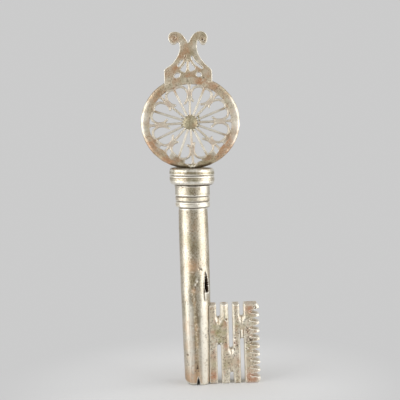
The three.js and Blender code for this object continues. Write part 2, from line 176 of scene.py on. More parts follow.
def add_sums(tree: Tree, known: dict[str, Any], sums: dict[str, tuple[Any, ...]],
             clamp: bool = False) -> None:
    """Adds chains of sums to a tree and keeps their outcomes by name.

    Args:
        tree: The tree that gets the nodes.
        known: Outputs by name, to which the outcomes are added.
        sums: For each new name, a first value, then pairs of an operation and a second value. A
            value is a number, an output or the name of one.
        clamp: Whether each outcome is kept between 0 and 1.
    """
    for name, (level, *steps) in sums.items():
        level = known[level] if isinstance(level, str) else level
        for operation, second in zip(steps[::2], steps[1::2]):
            second = known[second] if isinstance(second, str) else second
            level = add_node(tree, "ShaderNodeMath", {0: level, 1: second}, operation=operation,
                             use_clamp=clamp)
        known[name] = level


def hill(value: Any, middle: Any, width: Any, power: int = 2) -> Any:
    """Gives 1 where a value is the middle and less and less away from it; arrays work too."""
    return np.exp(-((value - middle) / width) ** power)


def cleared_tree(owner: bpy.types.ID) -> Tree:
    """Switches on the nodes of a new material or world.

    Args:
        owner: The material or world.

    Returns:
        Its tree, without nodes.
    """
    owner.use_nodes = True
    owner.node_tree.nodes.clear()
    return owner.node_tree


def show(name: str, data: bpy.types.ID) -> Piece:
    """Puts a mesh, a lamp or a camera in the scene.

    Args:
        name: Name of the new object.
        data: What it shows.

    Returns:
        The object.
    """
    piece = bpy.data.objects.new(name, data)
    bpy.context.scene.collection.objects.link(piece)
    return piece


@dataclass(frozen=True)
class ForgedIron:
    """Wrought iron, hammered, filed and rubbed by hands.

    The eye sees a silvery beige metal whose tone wanders, brown oxide in its pits, olive wax
    patches, brighter worn edges, and copper colour where braze has run. Some bright patches
    are painted highlights, and some brown and greenish patches are painted shade.
    """

    name: str
    body: str = "BEB49E"
    silver: str = "D2CBBA"
    # Greenish patches, and the collar's painted shade
    olive_and_shade: str = "9E9674"
    copper: str = "BC9170"
    # Colour of rust and dark lines, and of painted shade beside the shank's tear
    oxide_and_shade: str = "5A4532"
    # Colour of worn edges and of painted highlights
    worn_and_highlight: str = "F6F1E4"
    # Colour of brown freckles and of painted shade
    patina_and_shade: str = "7A6A4E"
    copper_share: float = 0.25
    olive_share: float = 0.4
    speckle: float = 0.4
    # Real freckles and grit are too fine to show in the render, so both are drawn this coarse
    speckle_size: float = 0.55
    grit: float = 0.6
    roughness: float = 0.3
    crust_roughness: float = 0.75
    crust_metallic: float = 0.45

    def material(self) -> Iron:
        """Makes the material.

        Returns:
            The material, with its nodes.
        """
        made = bpy.data.materials.new(self.name)
        tree = cleared_tree(made)
        place = add_node(tree, "ShaderNodeTexCoord", out="Object")
        known = {stain.value: add_node(tree, "ShaderNodeAttribute", out="Fac",
                                       attribute_name=stain.value) for stain in Stain}

        def cloud(size: float, low: float, high: float, shift: float, detail: float = 3.0,
                  top: float = 1.0) -> Socket:
            """Gives a soft-edged pattern of patches.

            Args:
                size: Width of a patch in mm.
                low: Noise value where a patch begins.
                high: Noise value where it is full.
                shift: Distance that moves the pattern, in m.
                detail: Octaves of the noise.
                top: Strength of a full patch.

            Returns:
                The patch mask.
            """
            moved = add_node(tree, "ShaderNodeMapping", {"Vector": place, "Location": (shift,) * 3})
            noise = add_node(tree, "ShaderNodeTexNoise", {
                "Vector": moved, "Scale": grain(size), "Detail": detail, "Roughness": 0.6})
            return add_node(tree, "ShaderNodeMapRange", {
                "Value": noise, "From Min": low, "From Max": high, "To Max": top},
                interpolation_type="SMOOTHSTEP")

        share = self.copper_share
        add_sums(tree, known, {
            "silver": (cloud(7, 0.35, 0.65, 0.0),),
            # Greenish patches, with painted shade where the stain carries it
            "moss_and_shade": ("olive_and_shade", "MULTIPLY", cloud(1.8, 0.25, 0.6, 0.1), "ADD",
                     cloud(9, 0.54, 0.68, 0.2, top=self.olive_share)),
            "shadow": ("shade", "MULTIPLY", cloud(0.9, 0.36, 0.56, 0.8)),
            "speckle": (cloud(self.speckle_size, 0.5, 0.64, 1.1, detail=2.0, top=self.speckle),),
            "blush": (cloud(6, 0.56, 0.68, 0.3, top=share), "MAXIMUM",
                      cloud(1.3, 0.52, 0.66, 0.75, top=0.7 * share)),
            "braze": ("copper", "MULTIPLY", cloud(2.2, 0.2, 0.55, 0.5), "ADD", "blush"),
            "rust": ("rot", "MULTIPLY", cloud(0.8, 0.45, 0.55, 0.6), "ADD", "pit"),
            # Darker in hollows and along dark lines
            "hollows_and_lines": ("hollow_dark", "MULTIPLY", 0.5, "MAXIMUM", "line"),
            "crust_and_shade": ("rust", "ADD", "hollows_and_lines"),
            # Worn edges, plus painted highlights from the highlight stain
            "bare_and_highlight": ("highlight_and_rub", "MULTIPLY", cloud(1.4, 0.15, 0.5, 0.9), "MAXIMUM", "wear",
                     "SUBTRACT", "line"),
            "dirt": ("crust_and_shade", "SUBTRACT", "wear"),
            "dull": ("highlight_and_rub", "MAXIMUM", "shade", "MULTIPLY", 0.62)}, clamp=True)

        colour = linear(self.body)
        for mask, above in (("silver", self.silver), ("moss_and_shade", self.olive_and_shade),
                            ("shadow", self.patina_and_shade), ("speckle", self.patina_and_shade),
                            ("braze", self.copper), ("crust_and_shade", self.oxide_and_shade),
                            ("bare_and_highlight", self.worn_and_highlight)):
            colour = add_node(tree, "ShaderNodeMix", {
                0: known[mask], MIX_A: colour, MIX_B: linear(above)}, MIX_COLOUR,
                data_type="RGBA")

        known["matt"] = add_node(tree, "ShaderNodeMapRange", {
            "Value": known["dirt"], "To Min": self.roughness, "To Max": self.crust_roughness})
        metal = add_node(tree, "ShaderNodeMapRange", {
            "Value": known["crust_and_shade"], "To Min": 1.0, "To Max": self.crust_metallic})
        marks = add_node(tree, "ShaderNodeTexNoise", {
            "Vector": place, "Scale": grain(self.grit), "Detail": 4.0, "Roughness": 0.7})
        add_sums(tree, known, {"roughness": ("dull", "MAXIMUM", "matt")}, clamp=True)
        height = add_node(tree, "ShaderNodeMath", {0: known["crust_and_shade"], 1: -0.6, 2: marks},
                          operation="MULTIPLY_ADD")
        bump = add_node(tree, "ShaderNodeBump", {
            "Height": height, "Strength": 0.8, "Distance": 0.14 * MM})
        shader = add_node(tree, "ShaderNodeBsdfPrincipled", {
            "Base Color": colour, "Metallic": metal, "Roughness": known["roughness"],
            "Normal": bump, "Coat Weight": 0.12, "Coat Roughness": 0.3})
        add_node(tree, "ShaderNodeOutputMaterial", {"Surface": shader})
        return made


class Finish(Enum):
    """The key's irons, each named for how its surface was made."""

    # Painted highlights down the shank's sides and painted shade down its groove, brown and
    # freckled
    BURNISHED = ForgedIron("burnished_wrought_iron", copper="CDA783", speckle=0.75,
                           speckle_size=0.5)
    # Paler and more even than the shank, since fingers rub whatever stands out
    RUBBED = ForgedIron("rubbed_wrought_iron", body="CFC5AF", silver="E0D8C8", roughness=0.36)
    # A darker, olive tone, from old wax that stays below the bow
    PATINATED = ForgedIron("patinated_wrought_iron", body="9C9275", silver="B4AC90",
                           olive_and_shade="8C8568")
    # Soft, pinkish patches where braze has run
    BRAZED = ForgedIron("copper_stained_iron", body="CBBFA8", silver="DDD3C0", copper="C2A285",
                        copper_share=0.6, roughness=0.42)
    # Warm, dull and mottled, as a fine file leaves it
    FILED = ForgedIron("filed_wrought_iron", body="C3B497", silver="DACFB8", copper="C0926E",
                       copper_share=0.45, speckle=0.6, roughness=0.44)
    # Pale and grainy between dark pits, with greenish patches
    SAWN = ForgedIron("sawn_wrought_iron", body="D9CBB1", silver="F0E8D6", olive_and_shade="B7B383",
                      copper="CE9E80", copper_share=0.45, speckle=0.5, speckle_size=0.75,
                      roughness=0.44)
    # A dull olive grey, with hardly a gleam
    DULL = ForgedIron("rubbed_dull_iron", body="A39A80", silver="B9B096", roughness=0.5)


@dataclass(frozen=True)
class Line:
    """A line sunk into the front and back, or raised if its depth is below 0; lengths in mm."""

    points: tuple[Point, ...]
    width: float
    depth: float
    dark: float = 0.7


@dataclass(frozen=True)
class Surface:
    """How a hammer, a file and rust have left a surface; lengths in mm."""

    dent_width: float = 3.0
    dent_depth: float = 0.06
    pit_width: float = 0.7
    pit_depth: float = 0.1
    pit_share: float = 0.35
    edge_height: float = 0.09
    blur: int = 6


def flowing(points: list[Point], parts: int = 4) -> list[Point]:
    """Gives a smooth line through some points.

    Args:
        points: The points.
        parts: How many steps lead from one point to the next.

    Returns:
        The line's points.
    """
    ends = [points[0], *points, points[-1]]
    line = []
    for before, start, end, after in zip(ends, ends[1:], ends[2:], ends[3:]):
        for t in (k / parts for k in range(parts)):
            line.append(tuple(
                0.5 * (2 * q + (r - p) * t + (2 * p - 5 * q + 4 * r - s) * t * t
                       + (3 * q - p - 3 * r + s) * t ** 3)
                for p, q, r, s in zip(before, start, end, after)))
    return [*line, points[-1]]


class Forge:
    """Makes plain meshes into worn iron: it owns the trees and irons that all pieces share."""

    def __init__(self, key_axis: float) -> None:
        """Makes the shared trees and materials.

        Args:
            key_axis: Place of the shank's axis across the key, in m.
        """
        self.key_axis = key_axis
        self.axis = np.array((key_axis / MM, 0.0, 0.0))
        self.seed = 0
        self.skin = self.worn_skin()
        self.strip = self.strip_on_edge()
        self.irons = {finish: finish.value.material() for finish in Finish}

    @staticmethod
    def new_tree(name: str, *inputs: tuple[str, str]) -> tuple[Tree, dict[str, Socket]]:
        """Starts a geometry tree with named inputs and one geometry output.

        Args:
            name: The tree's name.
            *inputs: A socket type and the names of the inputs of that type, with commas.

        Returns:
            The tree and the outputs that its inputs arrive at, by name.
        """
        tree = bpy.data.node_groups.new(name, "GeometryNodeTree")
        for kind, labels in inputs:
            for label in labels.split(", "):
                tree.interface.new_socket(label, in_out="INPUT", socket_type=f"NodeSocket{kind}")
        tree.interface.new_socket("Geometry", in_out="OUTPUT", socket_type="NodeSocketGeometry")
        given = add_node(tree, "NodeGroupInput").node.outputs
        return tree, {socket.name: socket for socket in given}

    @staticmethod
    def closed(tree: Tree, shape: Socket, iron: Socket) -> Tree:
        """Ends a geometry tree in one smooth and real mesh of one iron.

        Args:
            tree: The tree.
            shape: Its geometry.
            iron: Its material.

        Returns:
            The tree.
        """
        smooth = add_node(tree, "GeometryNodeSetShadeSmooth", {"Geometry": shape})
        real = add_node(tree, "GeometryNodeRealizeInstances", {"Geometry": smooth})
        dressed = add_node(tree, "GeometryNodeSetMaterial", {"Geometry": real, "Material": iron})
        add_node(tree, "NodeGroupOutput", {0: dressed})
        return tree

    def worn_skin(self) -> Tree:
        """Makes the tree that dents and pits a surface and marks its worn edges and hollows.

        Returns:
            The tree.
        """
        tree, known = self.new_tree(
            "worn_skin", ("Geometry", "Geometry"),
            ("Float", "Dent Width, Dent Depth, Pit Width, Pit Depth, Pit Share, Edge Height, Seed"),
            ("Int", "Blur"), ("Material", "Iron"))
        place = add_node(tree, "GeometryNodeInputPosition")
        normal = add_node(tree, "GeometryNodeInputNormal")

        def noise(width: str, shift: float, detail: float, low: Any, high: float) -> Socket:
            """Gives noise with soft limits.

            Args:
                width: Name of the width of its patches.
                shift: What sets this noise apart from the others.
                detail: Octaves of the noise.
                low: Noise value that gives 0.
                high: Noise value that gives 1.

            Returns:
                The noise.
            """
            add_sums(tree, known, {"W": ("Seed", "ADD", shift), "Scale": (1.0, "DIVIDE", width)})
            field = add_node(tree, "ShaderNodeTexNoise", {
                "Vector": place, "W": known["W"], "Scale": known["Scale"], "Detail": detail,
                "Roughness": 0.5}, noise_dimensions="4D")
            return add_node(tree, "ShaderNodeMapRange", {
                "Value": field, "From Min": low, "From Max": high},
                interpolation_type="SMOOTHSTEP")

        add_sums(tree, known, {
            "Patch Width": ("Pit Width", "MULTIPLY", 9.0),
            "More": ("Pit Share", "MULTIPLY", 0.4), "Patch Low": (0.62, "SUBTRACT", "More")})
        patches = noise("Patch Width", 4.0, 2.0, known["Patch Low"], 0.66)
        add_sums(tree, known, {
            "Dents": (noise("Dent Width", 0.0, 1.5, 0.3, 0.7), "SUBTRACT", 0.5,
                      "MULTIPLY", "Dent Depth"),
            "Pits": (noise("Pit Width", 9.0, 1.0, 0.56, 0.68), "MULTIPLY", patches),
            "Dug": ("Pits", "MULTIPLY", "Pit Depth"), "Lift": ("Dents", "SUBTRACT", "Dug")})
        offset = add_node(tree, "ShaderNodeVectorMath", {0: normal, "Scale": known["Lift"]},
                          operation="SCALE")
        blurred = add_node(tree, "GeometryNodeBlurAttribute", {
            "Value": place, "Iterations": known["Blur"]}, data_type="FLOAT_VECTOR")
        sunk = add_node(tree, "ShaderNodeVectorMath", {0: blurred, 1: place}, operation="SUBTRACT")
        hollow = add_node(tree, "ShaderNodeVectorMath", {0: sunk, 1: normal}, "Value",
                          operation="DOT_PRODUCT")
        add_sums(tree, known, {"Start": ("Edge Height", "MULTIPLY", 0.3),
                               "Raised": (hollow, "MULTIPLY", -1.0)})
        pitted = add_node(tree, "GeometryNodeStoreNamedAttribute", {
            "Geometry": known["Geometry"], "Name": Stain.PIT.value, "Value": known["Pits"]},
            data_type="FLOAT", domain="POINT")
        shape = add_node(tree, "GeometryNodeSetPosition", {"Geometry": pitted, "Offset": offset})
        for stain, height in ((Stain.WEAR, known["Raised"]), (Stain.HOLLOW_DARK, hollow)):
            level = add_node(tree, "ShaderNodeMapRange", {
                "Value": height, "From Min": known["Start"], "From Max": known["Edge Height"]},
                interpolation_type="SMOOTHSTEP")
            shape = add_node(tree, "GeometryNodeStoreNamedAttribute", {
                "Geometry": shape, "Name": stain.value, "Value": level},
                data_type="FLOAT", domain="POINT")
        return self.closed(tree, shape, known["Iron"])

    def strip_on_edge(self) -> Tree:
        """Makes the tree that sets a flat strip on edge along a path in the bow's plane.

        Returns:
            The tree.
        """
        tree, given = self.new_tree("strip_on_edge", ("Geometry", "Geometry"),
                                    ("Float", "Thickness, Depth, Rounding"), ("Material", "Iron"))
        path = add_node(tree, "GeometryNodeMeshToCurve", {"Mesh": given["Geometry"]})
        turned = add_node(tree, "GeometryNodeSetCurveNormal", {
            "Curve": path, "Normal": (0.0, 1.0, 0.0)}, mode="FREE")
        square = add_node(tree, "GeometryNodeCurvePrimitiveQuadrilateral", {
            "Width": given["Depth"], "Height": given["Thickness"]})
        section = add_node(tree, "GeometryNodeFilletCurve", {
            "Curve": square, "Radius": given["Rounding"], "Count": 3, "Limit Radius": True},
            mode="POLY")
        shape = add_node(tree, "GeometryNodeCurveToMesh", {
            "Curve": turned, "Profile Curve": section, "Fill Caps": True})
        return self.closed(tree, shape, given["Iron"])

    def run(self, piece: Piece, tree: Tree, values: dict[str, Any]) -> Piece:
        """Runs a geometry tree on a piece.

        Args:
            piece: The piece.
            tree: The tree.
            values: Values for the tree's inputs, by name.

        Returns:
            The piece.
        """
        shape = with_values(piece.modifiers.new(tree.name, "NODES"), node_group=tree)
        for item in tree.interface.items_tree:
            if item.in_out == "INPUT" and item.name in values:
                shape[item.identifier] = values[item.name]
        return self.bake(piece)

    @staticmethod
    def bake(piece: Piece) -> Piece:
        """Turns a piece and its modifiers into a plain mesh.

        Args:
            piece: The piece.

        Returns:
            The piece.
        """
        graph = bpy.context.evaluated_depsgraph_get()
        graph.update()
        plain = bpy.data.meshes.new_from_object(piece.evaluated_get(graph), depsgraph=graph)
        piece.modifiers.clear()
        piece.data = plain
        return piece

    @staticmethod
    @contextmanager
    def edited(mesh: bpy.types.Mesh) -> Iterator[bmesh.types.BMesh]:
        """Opens a mesh for editing and writes the outcome back.

        Args:
            mesh: The mesh.

        Yields:
            The editable copy.
        """
        solid = bmesh.new()
        solid.from_mesh(mesh)
        yield solid
        solid.to_mesh(mesh)
        solid.free()

    def at(self, across: float, depth: float, up: float) -> tuple[float, float, float]:
        """Gives a place in the scene from its distances to the foot of the shank's axis in mm."""
        return (self.key_axis + across * MM, depth * MM, up * MM)

    @staticmethod
    def place(name: str, points: list[Any], faces: list[Any], edges: Any = ()) -> Piece:
        """Makes an object from plain mesh data and puts it in the scene.

        Args:
            name: Name of the new object.
            points: Its points, in metres.
            faces: The points' numbers round each face.
            edges: The points' numbers of each loose edge.

        Returns:
            The object.
        """
        mesh = bpy.data.meshes.new(name)
        mesh.from_pydata(points, edges, faces)
        mesh.validate()
        return show(name, mesh)

    def copy_node(self, name: str, node: str) -> Piece:
        """Copies a CAD solid into one closed mesh.

        Args:
            name: Name of the new object.
            node: The node to copy.

        Returns:
            The new object.
        """
        mesh = frame["nodes"][node].data.copy()
        mesh.materials.clear()
        with self.edited(mesh) as solid:
            bmesh.ops.remove_doubles(solid, verts=solid.verts, dist=WELD)
        return show(name, mesh)

    def join(self, piece: Piece, others: list[Piece]) -> None:
        """Adds the meshes of other objects to a piece and removes those objects.

        Args:
            piece: The piece.
            others: The other objects.
        """
        with self.edited(piece.data) as whole:
            for other in others:
                whole.from_mesh(other.data)
                bpy.data.objects.remove(other)

    def slab(self, outline: list[Point], half_depth: float) -> Piece:
        """Makes a plate from its outline in the key's plane and half of its depth, in mm."""
        return self.rings("slab", [[self.at(x, y, z) for x, z in outline]
                                   for y in (-half_depth, half_depth)], capped=True)

    def ribbon(self, name: str, chains: list[list[Point]], thickness: float,
               half_depth: float, finish: Finish) -> Piece:
        """Makes strips that stand on edge along lines in the key's plane.

        Args:
            name: Name of the new object.
            chains: Each strip's points, as distances from the shank's axis and heights, in mm.
            thickness: The strips' thickness in mm.
            half_depth: Half of their depth in mm.
            finish: What their iron looks like.

        Returns:
            The strips.
        """
        points, edges = [], []
        for chain in chains:
            first = len(points)
            points += [self.at(x, 0, z) for x, z in chain]
            edges += [(k, k + 1) for k in range(first, len(points) - 1)]
        return self.run(self.place(name, points, [], edges), self.strip, {
            "Thickness": thickness * MM, "Depth": 2 * half_depth * MM,
            "Rounding": ROUNDING * thickness * MM, "Iron": self.irons[finish]})

    def peg(self, across: float, up: float, radius: float, half_depth: float) -> Piece:
        """Makes a short round peg through the key's plane, with eased ends.

        Args:
            across: Distance of its middle from the shank's axis, in mm.
            up: Height of its middle in mm.
            radius: Its radius in mm.
            half_depth: Half of its depth in mm.

        Returns:
            The peg.
        """
        turns = [math.pi * k / 8 for k in range(16)]
        return self.hull([
            (across + radius * scale * math.cos(t), side * depth, up + radius * scale * math.sin(t))
            for side in (-1, 1) for scale, depth in ((1, half_depth - 0.25), (0.6, half_depth))
            for t in turns])

    def hull(self, points: list[tuple[float, float, float]]) -> Piece:
        """Makes the smallest solid round some points.

        Args:
            points: Their distances from the foot of the shank's axis, in mm.

        Returns:
            The solid.
        """
        mesh = bpy.data.meshes.new("hull")
        with self.edited(mesh) as solid:
            for point in points:
                solid.verts.new(self.at(*point))
            bmesh.ops.convex_hull(solid, input=solid.verts)
        return show("hull", mesh)

    def rings(self, name: str, rings: list[list[Any]], capped: bool = False) -> Piece:
        """Makes a closed skin over rings of the same number of points.

        Args:
            name: Name of the new object.
            rings: The rings, in metres.
            capped: Whether the first and last rings are filled; otherwise they join.

        Returns:
            The skin, with its faces outwards.
        """
        count = len(rings[0])
        faces = []
        for i in range(len(rings) - capped):
            low, high = i * count, (i + 1) % len(rings) * count
            faces += [[low + j, low + (j + 1) % count, high + (j + 1) % count, high + j]
                      for j in range(count)]
        if capped:
            last = (len(rings) - 1) * count
            faces += [list(range(count - 1, -1, -1)), list(range(last, last + count))]
        piece = self.place(name, [point for ring in rings for point in ring], faces)
        with self.edited(piece.data) as solid:
            bmesh.ops.recalc_face_normals(solid, faces=solid.faces)
        return piece

    def cut(self, piece: Piece, cutters: list[Piece]) -> None:
        """Cuts other solids out of a piece.

        Args:
            piece: The piece.
            cutters: The solids, which go.
        """
        for cutter in cutters:
            with_values(piece.modifiers.new("cut", "BOOLEAN"), operation="DIFFERENCE",
                        solver="EXACT", object=cutter)
        self.bake(piece)
        for cutter in cutters:
            bpy.data.objects.remove(cutter)

    def soften(self, piece: Piece, rounds: int = 2) -> None:
        """Rounds a piece's edges.

        Args:
            piece: The piece.
            rounds: How many times the surface is smoothed.
        """
        with_values(piece.modifiers.new("round", "SMOOTH"), factor=SMOOTH_FACTOR,
                    iterations=rounds)
        self.bake(piece)

    def fuse(self, piece: Piece, voxel: float, rounds: int = 3) -> None:
        """Fuses a piece's overlapping solids as braze does, and rounds its edges.

        Args:
            piece: The piece.
            voxel: Spacing of the new mesh in mm.
            rounds: How many times the surface is smoothed.
        """
        with_values(piece.modifiers.new("fuse", "REMESH"), mode="VOXEL", voxel_size=voxel * MM,
                    adaptivity=0)
        self.soften(piece, rounds)

    def chase(self, piece: Piece, lines: tuple[Line, ...]) -> None:
        """Sinks lines into a flat piece's front and back, or raises them.

        Args:
            piece: The piece.
            lines: The lines.
        """
        places = self.points_of(piece)
        flat = places[:, [0, 2]]
        dark = np.zeros(len(places))
        for line in lines:
            near = np.full(len(places), np.inf)
            path = np.array(line.points)
            for start, end in zip(path, path[1:]):
                step = end - start
                along = np.clip((flat - start) @ step / (step @ step), 0, 1)
                away = flat - start - along[:, None] * step
                near = np.minimum(near, (away ** 2).sum(axis=1))
            level = np.exp(-near / line.width ** 2)
            places[:, 1] -= np.sign(places[:, 1]) * line.depth * level
            if line.depth > 0:
                dark = np.maximum(dark, line.dark * level)
        self.move_points(piece, places)
        self.write(piece, Stain.LINE, dark)

    @staticmethod
    def write(piece: Piece, stain: Stain, values: np.ndarray) -> None:
        """Writes a stain's strength for each point of a piece."""
        layer = piece.data.attributes.new(stain.value, "FLOAT", "POINT")
        layer.data.foreach_set("value", values.astype(np.float32))

    def points_of(self, piece: Piece) -> np.ndarray:
        """Gives the places of a piece's points.

        Args:
            piece: The piece.

        Returns:
            A row for each point, with its distances from the foot of the shank's axis in mm.
        """
        co = np.empty(len(piece.data.vertices) * 3, np.float32)
        piece.data.vertices.foreach_get("co", co)
        return co.reshape(-1, 3).astype(float) / MM - self.axis

    def move_points(self, piece: Piece, places: np.ndarray) -> None:
        """Moves a piece's points.

        Args:
            piece: The piece.
            places: Their new places, given as points_of gives them.
        """
        co = (places + self.axis) * MM
        piece.data.vertices.foreach_set("co", co.astype(np.float32).ravel())
        piece.data.update()

    def wear(self, piece: Piece, surface: Surface, finish: Finish) -> None:
        """Gives a piece its dents, pits, worn edges and material.

        Args:
            piece: The piece.
            surface: How the surface is marked.
            finish: What the iron looks like.
        """
        self.seed += 1
        self.run(piece, self.skin, {
            "Dent Width": surface.dent_width * MM, "Dent Depth": surface.dent_depth * MM,
            "Pit Width": surface.pit_width * MM, "Pit Depth": surface.pit_depth * MM,
            "Pit Share": surface.pit_share, "Edge Height": surface.edge_height * MM,
            "Seed": SEED_STEP * self.seed, "Blur": surface.blur, "Iron": self.irons[finish]})

    def level(self, piece: Piece, patches: Rows) -> np.ndarray:
        """Gives how strongly round patches show at a piece's points.

        Args:
            piece: The piece.
            patches: Each one's distance from the shank's axis, height and width in mm, and its
                strength in the middle.

        Returns:
            A strength for each point.
        """
        x, _, z = self.points_of(piece).T
        level = np.zeros(len(x))
        for across, up, width, strength in patches:
            level = np.maximum(level, strength * hill(x, across, width) * hill(z, up, width))
        return level

    def mark(self, piece: Piece, stains: dict[Stain, Rows]) -> None:
        """Writes each stain's patches, given as in level, to a piece's points."""
        for stain, patches in stains.items():
            self.write(piece, stain, self.level(piece, patches))

    def hand_over(self, piece: Piece, slot: Slot, *nodes: str) -> None:
        """Keeps a finished piece in the key's box and lets it stand for its CAD nodes.

        Args:
            piece: The piece.
            slot: Its material slot; not used.
            *nodes: The nodes.
        """
        low, high = (np.array(corner) / MM - self.axis for corner in cad_bounds)
        self.move_points(piece, np.clip(self.points_of(piece), low, high))
        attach(piece, "root")
        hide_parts(*nodes)
        log.info("%s: %d points", piece.name, len(piece.data.vertices))


@dataclass
class Shank:
    """The hollow pipe, folded to a groove down its front, split and torn; lengths in mm."""

    forge: Forge
    length: float = 75.0
    top: float = 87.6
    collar_radius: float = 6.0
    belly_radius: float = 6.25
    end_radius: float = 5.6
    belly_height: float = 58.0
    spigot_radius: float = 5.3
    spigot_rows: tuple[float, ...] = (79.0, 83.0)
    wall: float = 1.3
    groove_depth: float = 1.25
    groove_top: float = 42.0
    groove_width: float = 17.0
    around: int = 216
    step: float = 0.34
    tear_low: float = 39.3
    tear_high: float = 48.2
    tear_angle: float = 51.0
    split_height: float = 3.6
    split_width: float = 13.0
    split_angle: float = 1.0
    fade: float = 3.0

    def radius(self, height: float) -> float:
        """Gives the pipe's radius.

        Args:
            height: Height above the foot.

        Returns:
            The radius.
        """
        if height > self.length:
            return self.spigot_radius
        if height > self.belly_height:
            rise = (height - self.belly_height) / (self.length - self.belly_height)
            return self.belly_radius + (self.collar_radius - self.belly_radius) * rise ** 2
        share = math.sin(height / self.belly_height * math.pi / 2)
        return self.end_radius + (self.belly_radius - self.end_radius) * share

    def groove(self, height: float, turns: np.ndarray) -> np.ndarray:
        """Gives the depth of the fold.

        Args:
            height: Height above the foot.
            turns: Angles from the front.

        Returns:
            The depth at each angle.
        """
        fall = max(0.0, 1 - height / self.groove_top)
        middle = -2 - 13 * (1 - fall)
        width = self.groove_width * (0.75 + 0.25 * fall) * np.where(turns > middle, 0.72, 1.1)
        return self.groove_depth * math.sqrt(fall) * hill(turns, middle, width)

    def rounding(self, height: float, turns: np.ndarray) -> np.ndarray:
        """Gives how far the pipe's end is worn in, most of all at its left corner.

        Args:
            height: Height above the foot.
            turns: Angles from the front.

        Returns:
            The distance at each angle.
        """
        worn = math.exp(-height / 0.5) * 0.35
        share = max(0.0, 1 - height / 2.4)
        return worn + 1.9 * hill(turns, -75, 38) * (1 - math.sqrt(1 - share ** 2))

    def tear(self, height: Any, turns: np.ndarray) -> np.ndarray:
        """Tells how far inside the tear places are.

        Args:
            height: Height above the foot, or one for each angle.
            turns: Angles from the front.

        Returns:
            Each one's distance in degrees, or less than 0 outside the tear.
        """
        share = np.clip((height - self.tear_low) / (self.tear_high - self.tear_low), 0, 1)
        lean = self.tear_angle + 5 * (0.45 - share)
        ragged = 0.9 * np.sin(height * 5.1) + 0.7 * np.sin(height * 11.7)
        half = 20 * (1 - share) ** 1.1 * share ** 0.25 + ragged
        return np.where((share > 0) & (share < 1), half - abs(turns - lean), -90.0)

    def blow(self, height: float, turns: np.ndarray) -> np.ndarray:
        """Gives how far knocks move the surface outwards.

        Args:
            height: Height above the foot.
            turns: Angles from the front.

        Returns:
            The distance at each angle.
        """
        total = 0.0
        for up, angle, tall, wide, out in (
                (56, -62, 9, 28, -0.1), (30, -70, 8, 20, -0.08), (66, 30, 6, 22, -0.07),
                (48.6, 44, 1.9, 26, -0.16), (43, 40, 5, 14, -0.14), (51, 12, 4, 18, 0.06),
                (22, 150, 9, 30, -0.12), (60, 200, 7, 25, -0.1), (13, 55, 6, 20, 0.05)):
            total += out * hill(height, up, tall) * hill(turns, angle, wide)
        crease = hill(height + 0.076 * (turns - 25), 49.3, 0.3) * hill(turns, 23, 10)
        chip = hill(turns - 5.2 * (height - 44.2), 4.5, 4) * hill(height, 44.2, 1.7)
        flap = hill(turns, 40, 9) / (1 + np.exp(-(turns - 39.5) * 2.2))
        lip = flap * hill(height, 38.5, 2.2, 4)
        gap = hill(turns, 37, 1.8) * hill(height, 38.3, 2.3, 4)
        return total - 0.28 * crease - 0.4 * chip + 0.42 * lip - 0.75 * gap

    def is_open(self, height: float, turns: np.ndarray) -> np.ndarray:
        """Tells where the wall is missing, torn or split."""
        half = self.split_width / 2 * (1 - min(1.0, height / self.split_height) ** 1.5)
        return (self.tear(height, turns) > 0) | (abs(turns - self.split_angle) < half)

    def build(self) -> None:
        """Makes the pipe."""
        heights = [self.step * k for k in range(int(self.length / self.step))]
        heights += [self.length - 0.02, self.length + 0.05, *self.spigot_rows, self.top]
        heights[0] = 0.0
        turns = 360 * np.arange(self.around) / self.around - 180
        angles = np.radians(turns)
        points, faces = [], []
        for height in heights:
            out = self.radius(height) - self.rounding(height, turns)
            if height < self.length:
                fade = min(1.0, (self.length - height) / self.fade)
                out += fade * self.blow(height, turns) - self.groove(height, turns)
            points += [self.forge.at(x, y, height)
                       for x, y in zip(out * np.sin(angles), -out * np.cos(angles))]
        for i, (below, above) in enumerate(zip(heights, heights[1:])):
            gone = self.is_open((below + above) / 2, turns + 180 / self.around)
            low, high = i * self.around, (i + 1) * self.around
            faces += [[low + j, low + (j + 1) % self.around, high + (j + 1) % self.around, high + j]
                      for j in np.flatnonzero(~gone).tolist()]
        pipe = self.forge.place("shank_pipe_worn", points, faces)
        with_values(pipe.modifiers.new("wall", "SOLIDIFY"), thickness=self.wall * MM, offset=-1)
        self.forge.soften(pipe)
        self.forge.wear(pipe, Surface(dent_width=3.4, dent_depth=0.06, pit_share=0.15,
                                      edge_height=0.1), Finish.BURNISHED)
        self.stain(pipe, len(points))
        self.forge.hand_over(pipe, Slot.IRON, "shank_pipe")

